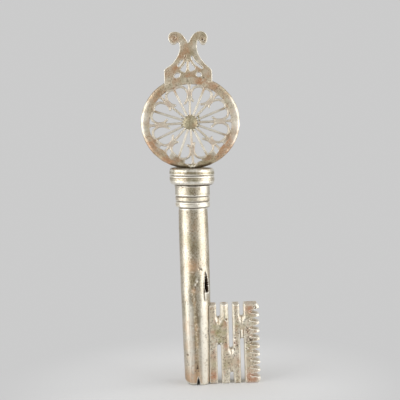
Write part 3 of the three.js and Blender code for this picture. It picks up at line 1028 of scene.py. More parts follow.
    def stain(self, pipe: Piece, outer: int) -> None:
        """Stains the pipe: painted highlights on its lobes, brown painted shade in its groove,
        dark cracks and a rusty inside.

        Args:
            pipe: The pipe.
            outer: How many of its first points lie on the outside.
        """
        forge = self.forge
        forge.mark(pipe, {
            Stain.COPPER: (
                (-0.4, 50.8, 2.2, 0.8), (-0.8, 40.5, 1.2, 0.6), (-3, 2, 5.5, 1), (3, 1, 3.4, 0.8),
                (0.5, 67, 1.5, 0.3), (-3.6, 25, 2.6, 0.7), (-4.2, 17, 2.2, 0.6),
                (-2.7, 28, 1.4, 0.7), (-2.6, 22.5, 1.8, 0.8), (-2.5, 17.5, 1.8, 0.8),
                (-2.4, 12, 1.9, 0.8), (-1.8, 7, 2.2, 0.9)),
            Stain.OLIVE_AND_SHADE: (
                (-2, 26, 1.8, 0.7), (-1.4, 20, 1.6, 0.6), (-2.2, 13, 1.4, 0.4), (-0.6, 60, 3, 0.6),
                (0, 45, 2.5, 0.8), (-1.4, 33, 2, 0.7), (-5.5, 30, 1.5, 0.5))})
        across, deep, up = forge.points_of(pipe).T
        turn = np.degrees(np.arctan2(across, -deep))
        front = deep < 0
        low = np.clip((40 - up) / 14, 0, 1)
        lobe = np.clip((36.5 - up) / 3, 0, 1)
        # Painted highlights with some wear: bands down both lobes and a lighter foot
        left = hill(turn, 11 * lobe - 38, 14 + 5 * lobe) * (0.25 + 0.62 * lobe)
        right = hill(turn, 36 - 3 * low, 15 + 3 * low, 4) * (0.25 + 0.75 * low)
        peach = np.clip((up - 2) / 6, 0, 1) + (turn > 6)
        highlight_and_rub = np.maximum(left * np.clip(peach, 0.45, 1), right)
        highlight_and_rub = np.maximum(highlight_and_rub, 0.25 * low * np.clip(peach, 0.4, 1))
        heights = (6, 14, 23, 31, 40, 48, 63)
        middle = np.interp(up, heights, (-0.3, -0.3, 0.0, 0.1, -1.05, -1.0, -0.2))
        half = np.interp(up, heights, (1.0, 1.05, 1.3, 1.4, 1.5, 1.4, 1.6))
        valley = hill(across, middle, half, 4) * front
        streaks = np.sin(0.9 * turn + 1.5 * np.sin(0.3 * up)) * np.sin(0.4 * turn + 1 + 0.25 * up)
        highlight_and_rub *= 1 - (0.95 * low + 0.25) / 1.2 * valley
        highlight_and_rub *= 1 - 0.5 * low * (turn < 0) * np.clip(-1.6 * streaks, 0, 1)
        flecks = forge.level(pipe, (
            (-2.2, 30.4, 0.5, 1), (-1.8, 27.9, 0.45, 1), (-1.9, 26.2, 0.4, 1),
            (-1.5, 24.5, 0.45, 1), (-1.4, 21.6, 0.45, 1), (-2.9, 20.6, 0.4, 1),
            (-2.5, 18.6, 0.4, 1), (-2.2, 16.6, 0.4, 1), (-1.9, 14.8, 0.4, 1), (-3.6, 13.6, 0.3, 1),
            (0, 43, 0.5, 1), (0.7, 44.6, 0.5, 1)))
        forge.write(pipe, Stain.HIGHLIGHT_AND_RUB, np.maximum(highlight_and_rub, flecks * front))
        forge.write(pipe, Stain.SHADE, valley * np.interp(
            up, heights, (0.45, 0.6, 0.8, 0.95, 0.85, 0.8, 0.3)))
        cracks_and_shade = forge.level(pipe, (
            (1.5, 45, 0.3, 1), (0.9, 43, 0.35, 1), (0.1, 41.9, 0.3, 1), (-3.96, 13.1, 0.35, 0.8)))
        cracks_and_shade += hill(up + 0.076 * (turn - 25), 49.3, 0.19) * hill(turn, 23, 10, 4)
        cracks_and_shade += hill(turn, 37, 1.6) * hill(up, 38.5, 2.3, 4)
        edge = self.tear(up, turn)
        cracks_and_shade += np.where(edge > -2.0, 1.0, 0.0)
        # Painted shade on the fold left of the tear
        cracks_and_shade += np.where((edge > -9) & (turn < self.tear_angle), 0.45, 0.0)
        inside = np.arange(len(up)) >= outer
        dark = np.where(inside & (up < self.length), 1.0, np.clip(cracks_and_shade * front, 0, 1))
        forge.write(pipe, Stain.LINE, dark)


@dataclass
class Bit:
    """The flag of the key: slots sawn for the lock's wards and a comb of teeth; in mm."""

    forge: Forge
    half: float = 3.2
    tall: float = 33.8
    reach: float = 26.45
    root: float = 23.65
    teeth: int = 10
    # Each pair of slots: its left edge, and how deep it is from the top and from the foot
    slots: tuple[tuple[float, float, float], ...] = (
        (8.4, 5.9, 16.7), (13.5, 19.5, 4.9), (18.2, 5.8, 19.4))
    slot_width: float = 1.7
    # How far the V's run out past the ends of each pair, down and up
    run_outs: tuple[Point, ...] = ((3.5, 0.5), (2.6, 2.0), (3.1, 0.2))
    # Each nick's two ends, across and up, then its width and depth
    nicks: Rows = (
        (18.96, 22.6, 18.96, 19.3, 0.34, -0.3), (18.25, 23.2, 18.25, 19, 0.2, 0.35),
        (19.75, 22.8, 19.75, 19.2, 0.18, 0.3), (16, 19.4, 16.1, 19.3, 0.28, 0.4),
        (15.8, 17.4, 15.9, 17.1, 0.24, 0.3), (15.6, 14.9, 15.8, 14.2, 0.24, 0.3),
        (15.4, 12.2, 15.5, 11.6, 0.22, 0.25), (20.9, 23.9, 21.2, 23.4, 0.22, 0.25),
        (21.4, 21.9, 21.1, 21.4, 0.24, 0.25), (20.6, 17.2, 21.1, 16.9, 0.22, 0.3),
        (21.6, 15.2, 21.9, 14.9, 0.24, 0.3), (20.5, 14.8, 20.8, 14.6, 0.2, 0.25),
        (12.3, 27.6, 12.6, 27.2, 0.26, 0.25), (9.2, 17.2, 9.3, 16.9, 0.26, 0.35),
        (13.6, 6.6, 13.65, 5.4, 0.2, 0.25))

    def bevel(self, left: float, right: float, closed: float, opened: float, point: float,
              size: float, side: int) -> Piece:
        """Makes a cutter that bevels a slot's edges and runs out in a V past its closed end.

        Args:
            left: Left edge of the slot.
            right: Right edge of the slot.
            closed: Height of the closed end.
            opened: Height of the open end.
            point: Height at which the V runs out.
            size: Width of the bevel on the face.
            side: -1 for the front face and 1 for the back.

        Returns:
            The cutter.
        """
        middle, half = (left + right) / 2, (right - left) / 2 + size
        face, slope, spare = side * self.half, 0.75, 0.4
        out = half + spare / slope
        corners = []
        for height in (closed, opened):
            corners += [(middle - out, face + side * spare, height),
                        (middle + out, face + side * spare, height),
                        (middle, face - side * slope * half, height)]
        return self.forge.hull([*corners, (middle, face, point),
                                (middle - 0.3, face + side * spare, point),
                                (middle + 0.3, face + side * spare, point)])

    def flank(self, inner: float, outer: float, low: float, high: float, depth: float,
              side: int) -> Piece:
        """Makes a cutter that slopes a bar's face down towards one of its edges.

        Args:
            inner: Where the slope starts on the face.
            outer: The bar's edge, where it is deepest.
            low: Height at which it begins.
            high: Height at which it ends.
            depth: Its depth at the edge.
            side: -1 for the front face and 1 for the back.

        Returns:
            The cutter.
        """
        face = self.half
        over = outer + (outer - inner) * 0.2
        corners = [(inner, side * face, high), (over, side * face, low - 1.2)]
        for height in (low, high):
            corners += [(inner, side * (face + 0.1), height), (over, side * (face + 0.5), height),
                        (over, side * (face - depth * 1.2), height)]
        return self.forge.hull(corners)

    def cutters(self) -> list[Piece]:
        """Makes the cutters for the slots' bevels and the teeth's filed feet.

        Returns:
            The cutters.
        """
        hull, root, over = self.forge.hull, self.root, self.tall + 1
        ups = [tooth * self.tall / self.teeth for tooth in range(1, self.teeth)]
        made = []
        for side in (-1, 1):
            face, out, deep = (side * (self.half + more) for more in (0, 1, -1.1))
            for (left, top, bottom), (down, rise) in zip(self.slots, self.run_outs):
                right = left + self.slot_width
                closed = self.tall - top
                made += [self.bevel(left, right, closed + 0.1, over, closed - down, 0.72, side),
                         self.bevel(left, right, bottom - 0.3, -1, bottom + rise, 0.5, side)]
            made += [self.flank(11.5, 10.1, 27.6, over, 0.95, side),
                     self.flank(12.0, 13.5, 27.2, over, 1.0, side),
                     self.flank(25.3, 27.0, -1, over + 1, 1.3, side)]
            made += [hull([(root - 2.0, face + side * 0.03, up)] + [
                (root + along, depth, up + way * half) for way in (1, -1)
                for along, depth, half in ((-2.2, out, 0.5), (0.3, out, 0.75), (0.3, deep, 0.5))])
                for up in ups]
        made += [hull([(root + along, side * (self.half + 1), up + 0.017 + way * half)
                       for along, half in ((-0.3, 0.35), (0.2, 0.62), (1.5, 0.85), (3.4, 1.35))
                       for side in (-1, 1) for way in (-1, 1)]) for up in ups]
        return made

    def build(self) -> None:
        """Makes the bit."""
        forge = self.forge
        blade = forge.copy_node("bit_worn", "bit")
        forge.cut(blade, self.cutters())
        forge.fuse(blade, 0.18, 2)
        forge.chase(blade, (
            Line(((24.1, 32.2), (24.3, 32.7), (24.9, 32.7), (25.1, 32.1), (24.7, 31.7)), 0.2, 0.2),
            *(Line(((x, z), (to_x, to_z)), width, depth)
              for x, z, to_x, to_z, width, depth in self.nicks)))
        forge.wear(blade, Surface(dent_width=2.2, dent_depth=0.1, pit_width=0.5, pit_depth=0.06,
                                  pit_share=0.3, edge_height=0.045, blur=4), Finish.SAWN)
        forge.mark(blade, {
            Stain.COPPER: (
                (6.8, 3.5, 2.4, 1), (22, 31.5, 1.8, 1), (22.5, 1.8, 3.2, 1), (12.2, 16, 1.3, 0.7),
                (12.5, 26.5, 1, 0.6), (17.5, 9.5, 2, 0.4), (7.2, 12, 1.8, 0.5),
                (15.8, 17.5, 1.2, 0.5), (6.9, 22, 1.2, 0.4)),
            Stain.OLIVE_AND_SHADE: (
                (9, 21.8, 2, 1), (10.8, 24.6, 1.2, 0.8), (7.6, 24.4, 1.2, 0.8),
                (16.5, 25, 1.2, 0.6), (9.5, 17.5, 1, 0.8), (21, 14, 1.2, 0.5)),
            Stain.ROT: (
                (22.2, 18.5, 1.6, 1), (17, 16.5, 1.1, 1), (21.8, 22.5, 1, 0.8),
                (13.3, 26.5, 0.8, 0.8), (10, 17.2, 0.8, 0.8), (24.8, 31.5, 0.7, 0.9))})
        self.highlight_and_rub(blade)
        forge.hand_over(blade, Slot.IRON, "bit")

    def highlight_and_rub(self, blade: Piece) -> None:
        """Paints highlights and wear on slot edges, the second bar's slopes and the teeth's tips.

        Args:
            blade: The bit.
        """
        across, _, up = self.forge.points_of(blade).T
        highlight_and_rub = 0.9 * np.clip((across - 24.9) / 1.2, 0, 1)
        for left, top, bottom in self.slots:
            cut = (up > self.tall - top - 1.5) | (up < bottom + 1.0)
            for edge in (left, left + self.slot_width):
                highlight_and_rub = np.maximum(highlight_and_rub, 0.9 * cut * hill(across, edge, 0.5))
        slopes = hill(across, 10.4, 0.7, 4) + hill(across, 13.2, 0.7, 4)
        self.forge.write(blade, Stain.HIGHLIGHT_AND_RUB, np.maximum(highlight_and_rub, slopes * np.clip(up - 27.5, 0, 1)))


def refined(loop: list[Point], step: float) -> list[Point]:
    """Adds points along the sides of a closed line.

    Args:
        loop: The line's corners.
        step: Rough distance between the points, or 0 for three parts of each side.

    Returns:
        The line with its new points.
    """
    dense = []
    for (x, y), (to_x, to_y) in zip(loop, [*loop[1:], loop[0]]):
        parts = max(1, round(math.hypot(to_x - x, to_y - y) / step)) if step else 3
        dense += [(x + (to_x - x) * k / parts, y + (to_y - y) * k / parts) for k in range(parts)]
    return dense


@dataclass
class Collar:
    """The turned rings between the pipe and the bow, a little askew; lengths in mm."""

    forge: Forge
    sides: int = 160
    bore: float = 5.35
    tilt: float = 0.036
    spacing: float = 0.3

    def turned(self, name: str, node: str, profile: list[Point], slot: Slot, finish: Finish,
               lines: Rows, olive_and_shade: float = 0.0) -> None:
        """Turns one ring from its profile and hands it over.

        Args:
            name: The ring's name.
            node: The CAD node that it stands for.
            profile: Radius and height of the outside, from its foot to its top.
            slot: The record's material slot.
            finish: What its iron looks like.
            lines: Height, width and strength of each dark line round the ring.
            olive_and_shade: Strength of the greenish painted shade in the middle of its front and
                back.
        """
        forge = self.forge
        path = [(self.bore, profile[0][1]), *profile, (self.bore, profile[-1][1])]
        dense = refined(path, self.spacing)
        turns = [2 * math.pi * step / self.sides for step in range(self.sides)]
        ring = forge.rings(name, [
            [forge.at(r * math.sin(turn), -r * math.cos(turn), z - self.tilt * r * math.sin(turn))
             for r, z in dense] for turn in turns])
        forge.soften(ring)
        forge.wear(ring, Surface(dent_width=2.2, dent_depth=0.05, pit_share=0.2, pit_depth=0.06,
                                 edge_height=0.045, blur=3), finish)
        across, _, up = forge.points_of(ring).T
        # Painted shade: a greenish tone darkens the middle of the ring's front and back
        forge.write(ring, Stain.OLIVE_AND_SHADE, olive_and_shade * hill(across, 0, 0.55 * profile[1][0], 4))
        forge.write(ring, Stain.LINE, np.max([
            strength * hill(up, height, width) for height, width, strength in lines], axis=0))
        forge.mark(ring, {Stain.COPPER: ((-8.8, 84.5, 1, 0.5), (3.5, 90.9, 3, 0.2)),
                          # Painted highlights at the neck's right and left
                          Stain.HIGHLIGHT_AND_RUB: ((5.4, 82, 1.6, 0.7), (-5.6, 82, 1.4, 0.4))})
        forge.hand_over(ring, slot, node)

    @staticmethod
    def bead(base: float, height: float, foot: float, belly: float) -> list[Point]:
        """Gives the profile of a half-round bead.

        Args:
            base: Height of its foot.
            height: How tall it is.
            foot: Radius at its foot and its top.
            belly: Radius at its widest.

        Returns:
            Radius and height of each point.
        """
        turns = [math.pi * k / 12 for k in range(13)]
        return [(foot + (belly - foot) * math.sin(t) ** 0.55, base + height * (1 - math.cos(t)) / 2)
                for t in turns]

    def build(self) -> None:
        """Makes the rings from the lowest to the cap."""
        self.turned("bead_ring_lower_turned", "lower_bead_ring",
                    self.bead(75.0, 2.6, 6.35, 7.25), Slot.BRIGHT, Finish.RUBBED, (
                        (75.0, 0.3, 0.9), (76.7, 0.14, 0.45), (77.6, 0.22, 0.8)))
        self.turned("bead_ring_upper_turned", "upper_bead_ring",
                    self.bead(77.64, 2.0, 6.75, 7.2), Slot.BRIGHT, Finish.RUBBED, (
                        (77.64, 0.2, 0.7), (79.64, 0.22, 1.0)))
        self.turned("neck_sleeve_turned", "neck_sleeve", [
            (6.9, 79.68), (7.2, 79.78), (7.4, 80.1), (7.3, 80.6), (7.22, 81.7), (7.28, 83.2),
            (7.4, 83.9), (7.4, 84.3)], Slot.IRON, Finish.BURNISHED,
            ((79.7, 0.2, 0.9), (84.3, 0.3, 0.9)))
        self.turned("collar_cup_turned", "collar_cup", [
            (7.4, 84.44), (8.1, 84.5), (8.7, 84.8), (9.15, 85.3), (9.36, 86.0), (9.4, 87.0),
            (9.33, 87.45), (9.4, 87.8), (9.4, 88.2), (9.1, 88.36)], Slot.IRON, Finish.BURNISHED,
            ((84.4, 0.35, 0.9), (87.45, 0.12, 0.5), (88.4, 0.14, 1.0)), olive_and_shade=0.7)
        self.turned("collar_cap_turned", "collar_cap", [
            (9.1, 88.42), (9.36, 88.55), (9.42, 88.9), (9.42, 89.7), (9.34, 90.4), (9.1, 91.0),
            (8.7, 91.42), (8.2, 91.55), (7.7, 91.45), (7.1, 91.0), (6.5, 90.6)], Slot.DARK,
            Finish.PATINATED, ((88.44, 0.14, 1.0), (91.5, 0.5, 0.75)), olive_and_shade=0.9)


@dataclass(frozen=True)
class Tail:
    """The inner end of a C-scroll: where it is along its stem, how far from it, and its ball."""

    share: float
    away: float
    ball: float


@dataclass
class Bow:
    """The oval rim and its rosette of thin strips set on edge; lengths in mm, angles in degrees."""

    forge: Forge
    centre: float = 110.3
    half_width: float = 20.6
    half_height: float = 19.2
    side_band: float = 3.45
    top_band: float = 3.3
    bottom_band: float = 1.9
    hub_radius: float = 3.4
    strip: float = 0.92
    strip_half: float = 1.72
    stems: int = 8
    stem_leans: tuple[float, ...] = (0, -2, -1, 0, -2, -4, -3, -1)
    spoke_leans: tuple[float, ...] = (0, 0, 0, -1.5, -3.5, -4, -2.2, -0.8)
    bundle: float = 0.64
    # Parts of the way from stem to spoke, and the share of the oval where the arch is there
    arches: tuple[Point, ...] = (
        (0.202, 0.692), (0.268, 0.73), (0.34, 0.757), (0.443, 0.779), (0.559, 0.793),
        (0.677, 0.801), (0.802, 0.800), (0.923, 0.786), (1.0, 0.765))
    tails: tuple[tuple[Tail, Tail], ...] = (
        (Tail(0.416, 2.0, 0.5), Tail(0.465, 1.35, 0.42)),
        (Tail(0.435, 1.8, 0.52), Tail(0.504, 1.3, 0.46)),
        (Tail(0.46, 1.65, 0.46), Tail(0.425, 2.2, 0.4)),
        (Tail(0.54, 1.2, 0.5), Tail(0.426, 1.45, 0.52)),
        (Tail(0.444, 1.15, 0.4), Tail(0.487, 1.7, 0.45)),
        (Tail(0.482, 1.35, 0.48), Tail(0.45, 1.85, 0.5)),
        (Tail(0.432, 1.65, 0.42), Tail(0.468, 1.95, 0.45)),
        (Tail(0.489, 1.4, 0.45), Tail(0.471, 1.35, 0.45)))
    # Parts of that way where the web begins, anticlockwise and clockwise of each stem
    holes: tuple[Point, ...] = (
        (0.42, 0.5), (0.52, 0.45), (0.6, 0.58), (0.4, 0.42), (0.55, 0.52), (0.4, 0.45),
        (0.62, 0.52), (0.45, 0.54))
    bite: float = 0.04
    foot_bite: float = 0.03
    stem_start: float = 0.14
    web_half: float = 1.8
    braze_half: float = 1.5
    foot_half: float = 1.75
    voxel: float = 0.15
    sags: tuple[float, ...] = (0, 0, 0, 0.035, 0, 0.045, 0, 0)
    # Where the rim is broader inwards: the angle, how wide it is and by what share
    swells: tuple[tuple[float, float, float], ...] = (
        (132, 10, 0.05), (168, 5, 0.04), (194, 4, 0.03), (222, 10, 0.065))

    def at(self, share: float, degrees: float) -> tuple[float, float]:
        """Gives a point of the bow.

        Args:
            share: Its distance from the middle, as a share of the way to the outer edge.
            degrees: Its angle, clockwise from the top.

        Returns:
            Its distance from the shank's axis and its height.
        """
        turn = math.radians(degrees)
        return (share * self.half_width * math.sin(turn),
                self.centre + share * self.half_height * math.cos(turn))

    def stem_angle(self, number: int) -> float:
        """Gives the angle of a stem, clockwise from the top."""
        return (number - 1) * 360 / self.stems + self.stem_leans[(number - 1) % self.stems]

    def spoke_angle(self, number: int) -> float:
        """Gives the angle of a plain spoke, the one clockwise of the stem of that number."""
        return (number - 0.5) * 360 / self.stems + self.spoke_leans[(number - 1) % self.stems]

    def beside(self, number: int, share: float, away: float) -> tuple[float, float]:
        """Gives a point at a share of a stem's line and a distance clockwise of it.

        Args:
            number: The stem's number.
            share: Share of the way from the bow's middle to its outer edge.
            away: Distance to the clockwise side.

        Returns:
            The point.
        """
        middle = Vector((0, self.centre))
        line = Vector(self.at(1, self.stem_angle(number))) - middle
        side = Vector((line.y, -line.x)).normalized()
        spot = middle + line * share + side * away
        return (spot.x, spot.y)

    def arch_share(self, number: int, part: float) -> float:
        """Gives an arch's share of the oval at a part of the way from its stem to the spoke."""
        sag = self.sags[(number - 1) % self.stems]
        return np.interp(part, *zip(*self.arches)) - sag * 4 * part * (1 - part)

    def opening(self, degrees: float) -> float:
        """Gives the share of the oval at which the rim's opening begins, with its swells.

        Args:
            degrees: Angle, clockwise from the top.

        Returns:
            The share.
        """
        turn = math.radians(degrees)
        wide = self.half_width - self.side_band
        tall = self.half_height - (self.top_band + self.bottom_band) / 2
        drop = (self.top_band - self.bottom_band) / 2 / tall
        across = self.half_width * math.sin(turn) / wide
        up = self.half_height * math.cos(turn) / tall
        square = across ** 2 + up ** 2
        even = (-up * drop + math.sqrt((up * drop) ** 2 - square * (drop ** 2 - 1))) / square
        return even - sum(swell * hill(degrees, middle, width)
                          for middle, width, swell in self.swells)

    def rim(self) -> None:
        """Makes the rim: a broad domed band with two curved ribs where it stands on the collar."""
        forge = self.forge
        section = [(0.0, 1.7), (0.015, 1.82), (0.05, 1.86), (0.25, 1.92), (0.45, 1.97),
                   (0.62, 1.96), (0.76, 1.84), (0.87, 1.6), (0.94, 1.28), (0.98, 0.95), (1.0, 0.5)]
        dense = refined([(s, -d) for s, d in section] + [(s, d) for s, d in reversed(section)], 0)
        rings = []
        for degrees in (step / 2 for step in range(720)):
            (x, z), (to_x, to_z) = self.at(self.opening(degrees), degrees), self.at(1, degrees)
            rings.append([forge.at(x + (to_x - x) * s, d, z + (to_z - z) * s) for s, d in dense])
        rim = forge.rings("bow_rim_forged", rings)
        forge.soften(rim)
        forge.chase(rim, (
            Line(((-3.4, 94.9), (-2.6, 94), (-1.7, 93), (-0.8, 92.1), (-0.3, 91.4)), 0.34, -0.3),
            Line(((3.7, 95.2), (2.9, 94.2), (2.1, 93.1), (1.4, 92.2), (1.0, 91.4)), 0.34, -0.3),
            Line(((0.35, 93.4), (0.35, 92.0), (0.35, 91.4)), 0.4, -0.28),
            Line(((-8.5, 93.2), (-4.5, 91.8), (-2.4, 91.7)), 0.5, 0.25),
            Line(((8.0, 93.1), (5.0, 92.0), (2.9, 91.7)), 0.5, 0.25)))
        forge.wear(rim, Surface(dent_width=2.2, dent_depth=0.12, pit_share=0.15, pit_depth=0.05,
                                edge_height=0.06, blur=4), Finish.FILED)
        forge.mark(rim, {
            Stain.COPPER: (
                (-9.5, 94.2, 2.4, 1), (14.5, 99.5, 5.5, 0.9), (4.8, 127.4, 2.6, 0.8),
                (15.2, 101.8, 4, 1), (9.5, 124.6, 2.4, 0.6), (-13.5, 121.5, 3.5, 0.5),
                (18.5, 107, 3, 0.5), (-16, 101, 4.5, 0.6), (-18, 112, 3, 0.4)),
            # Painted highlights, some wear: the rim's far sides and the ribs over the collar
            Stain.HIGHLIGHT_AND_RUB: (
                (20.2, 109, 3.4, 1), (20, 114, 2.6, 0.9), (18.6, 119, 2.2, 0.6),
                (19, 103, 2.4, 0.7), (-20.2, 113, 3, 1), (-20.4, 108, 2.4, 0.9),
                (-18.8, 118, 2, 0.6), (-1.1, 92.4, 0.4, 0.9), (-1.8, 93.1, 0.4, 0.9),
                (-0.6, 91.7, 0.4, 0.7), (1.5, 92.3, 0.4, 0.9), (2.2, 93.2, 0.4, 0.9),
                (0.35, 92.2, 0.5, 1)),
            Stain.OLIVE_AND_SHADE: (
                (0, 92, 3.2, 1), (-4, 127.8, 2.4, 0.5), (6, 93.5, 2.6, 0.6),
                (-18.8, 108, 1.5, 0.4))})
        forge.hand_over(rim, Slot.IRON, "bow_rim")

    def hub(self) -> None:
        """Makes the hub, a low dome on both faces with a few nubs where spokes end."""
        forge = self.forge
        dome = [(0.15, 2.45), (0.9, 2.4), (1.7, 2.2), (2.4, 1.92), (2.85, 1.72), (3.1, 1.5),
                (3.2, 1.1)]
        rings = []
        for radius, depth in [(r, -d) for r, d in dome] + dome[::-1]:
            uneven = [(turn, radius * (1 + 0.03 * math.sin(3 * turn + 1)
                                       + 0.02 * math.sin(7 * turn)))
                      for turn in (2 * math.pi * step / 72 for step in range(72))]
            rings.append([forge.at(r * math.sin(turn), depth, self.centre + r * math.cos(turn))
                          for turn, r in uneven])
        hub = forge.rings("rosette_hub_domed", rings, capped=True)
        forge.join(hub, [forge.peg(*self.at(share, degrees), 0.6, 1.7) for share, degrees in (
            (0.19, 88), (0.185, 112), (0.195, 66), (0.19, 158), (0.215, 47), (0.18, 246),
            (0.18, 292))])
        forge.fuse(hub, 0.16, 4)
        forge.wear(hub, Surface(dent_width=0.9, dent_depth=0.12, pit_share=0.5, pit_depth=0.08,
                                edge_height=0.2), Finish.DULL)
        forge.mark(hub, {
            Stain.OLIVE_AND_SHADE: ((0, self.centre, 3, 0.45),),
            Stain.COPPER: ((1.6, self.centre - 1.2, 1, 0.35),)})
        forge.hand_over(hub, Slot.BRIGHT, "rosette_hub")

    def spoke(self, number: int) -> None:
        """Makes a plain spoke and the web that ties it and the arches beside it to the rim.

        Args:
            number: Its number, clockwise from the top.
        """
        forge, degrees = self.forge, self.spoke_angle(number)
        reach = self.opening(degrees)
        start = (self.hub_radius - 0.5) / math.dist(self.at(1, degrees), (0, self.centre))
        line = [self.at(start + (reach + self.bite - start) * k / 12, degrees) for k in range(13)]
        spoke = forge.ribbon(f"plain_spoke_{number}_worn", [line], self.strip, self.strip_half,
                             Finish.RUBBED)
        sides = []
        for stem, hole in ((number, self.holes[number - 1][1]),
                           (number + 1, self.holes[number % self.stems][0])):
            first = self.stem_angle(stem)
            span = degrees - first
            rise = [self.at(0.012 + self.arch_share(stem, part), first + part * span)
                    for part in np.linspace(hole, 0.97, 9)]
            brink = [self.at(self.opening(first + part * span) + self.bite, first + part * span)
                     for part in np.linspace(hole, 1, 7)]
            sides.append((rise, brink))
        (rise, brink), (next_rise, next_brink) = sides
        forge.join(spoke, [forge.slab(
            [*rise, *next_rise[::-1], *next_brink[:-1], *brink[::-1]], self.web_half)])
        forge.fuse(spoke, self.voxel)
        forge.wear(spoke, Surface(dent_width=1.4, dent_depth=0.06, pit_share=0.15, pit_depth=0.04,
                                  edge_height=0.05, blur=3), Finish.RUBBED)
        x, z = self.at(reach - 0.02, degrees)
        low = math.cos(math.radians(degrees)) < -0.7
        forge.mark(spoke, {Stain.COPPER: ((x, z, 2.4, 0.6),),
                           Stain.OLIVE_AND_SHADE: ((x, z, 3.2, 1.0 if low else 0.5),)})
        across, _, up = forge.points_of(spoke).T
        away = np.hypot(across - x, up - z)
        forge.write(spoke, Stain.HIGHLIGHT_AND_RUB, 0.6 * np.clip((away - 1.5) / 3, 0, 1))
        forge.hand_over(spoke, Slot.BRIGHT, f"plain_spoke_{number}")

    def petal(self, number: int) -> None:
        """Makes a stem with its two C-scrolls, brazed together where they touch.

        Args:
            number: Its number, clockwise from the top.
        """
        forge, beside = self.forge, partial(self.beside, number)
        stem = self.stem_angle(number)
        reach = self.opening(stem)
        end = reach + self.foot_bite
        chains = [[beside(self.stem_start + (end - self.stem_start) * k / 12, 0)
                   for k in range(13)]]
        balls = []
        for side, tail in zip((-1, 1), self.tails[number - 1]):
            inner = [beside(0.55 + (tail.share - 0.55) * part,
                            side * (self.bundle + (tail.away - self.bundle) * part ** 1.5))
                     for part in (1.0, 0.8, 0.6, 0.4, 0.2)]
            held = [beside(share, side * self.bundle) for share in (0.56, 0.6, 0.64)]
            span = self.spoke_angle(number if side > 0 else number - 1) - stem
            arch = [self.at(self.arch_share(number, part), stem + part * span)
                    for part, _ in self.arches]
            chains.append(flowing(inner + held + arch))
            balls.append(forge.peg(*inner[0], tail.ball, self.strip_half))
        petal = forge.ribbon(f"petal_{number}_brazed", chains, self.strip, self.strip_half,
                             Finish.BRAZED)
        edge = [(0.555, 0.3), (0.57, 0.62), (0.64, 0.66), (0.68, 0.9), (0.7, 1.15), (0.69, 0.4)]
        foot = [(reach - 0.05, 0.45), (reach - 0.012, 0.75), (end, 1.3)]
        plates = [([beside(s, -w) for s, w in half] + [beside(s, w) for s, w in half[::-1]], depth)
                  for half, depth in ((edge, self.braze_half), (foot, self.foot_half))]
        forge.join(petal, balls + [forge.slab(outline, depth) for outline, depth in plates])
        forge.fuse(petal, self.voxel)
        forge.wear(petal, Surface(dent_width=1.3, dent_depth=0.09, pit_share=0.25, pit_depth=0.05,
                                  edge_height=0.05, blur=3), Finish.BRAZED)
        forge.mark(petal, {Stain.COPPER: ((*beside(0.61, 0), 1.8, 0.75),
                                          (*beside(reach, 0), 2.0, 0.5))})
        forge.write(petal, Stain.HIGHLIGHT_AND_RUB, np.full(len(petal.data.vertices), 0.4))
        forge.hand_over(petal, Slot.BRAZED, f"stem_{number}", f"scroll_{number}_left",
                        f"scroll_{number}_right")

    def build(self) -> None:
        """Makes the whole bow."""
        self.rim()
        self.hub()
        for number in range(1, self.stems + 1):
            self.spoke(number)
            self.petal(number)


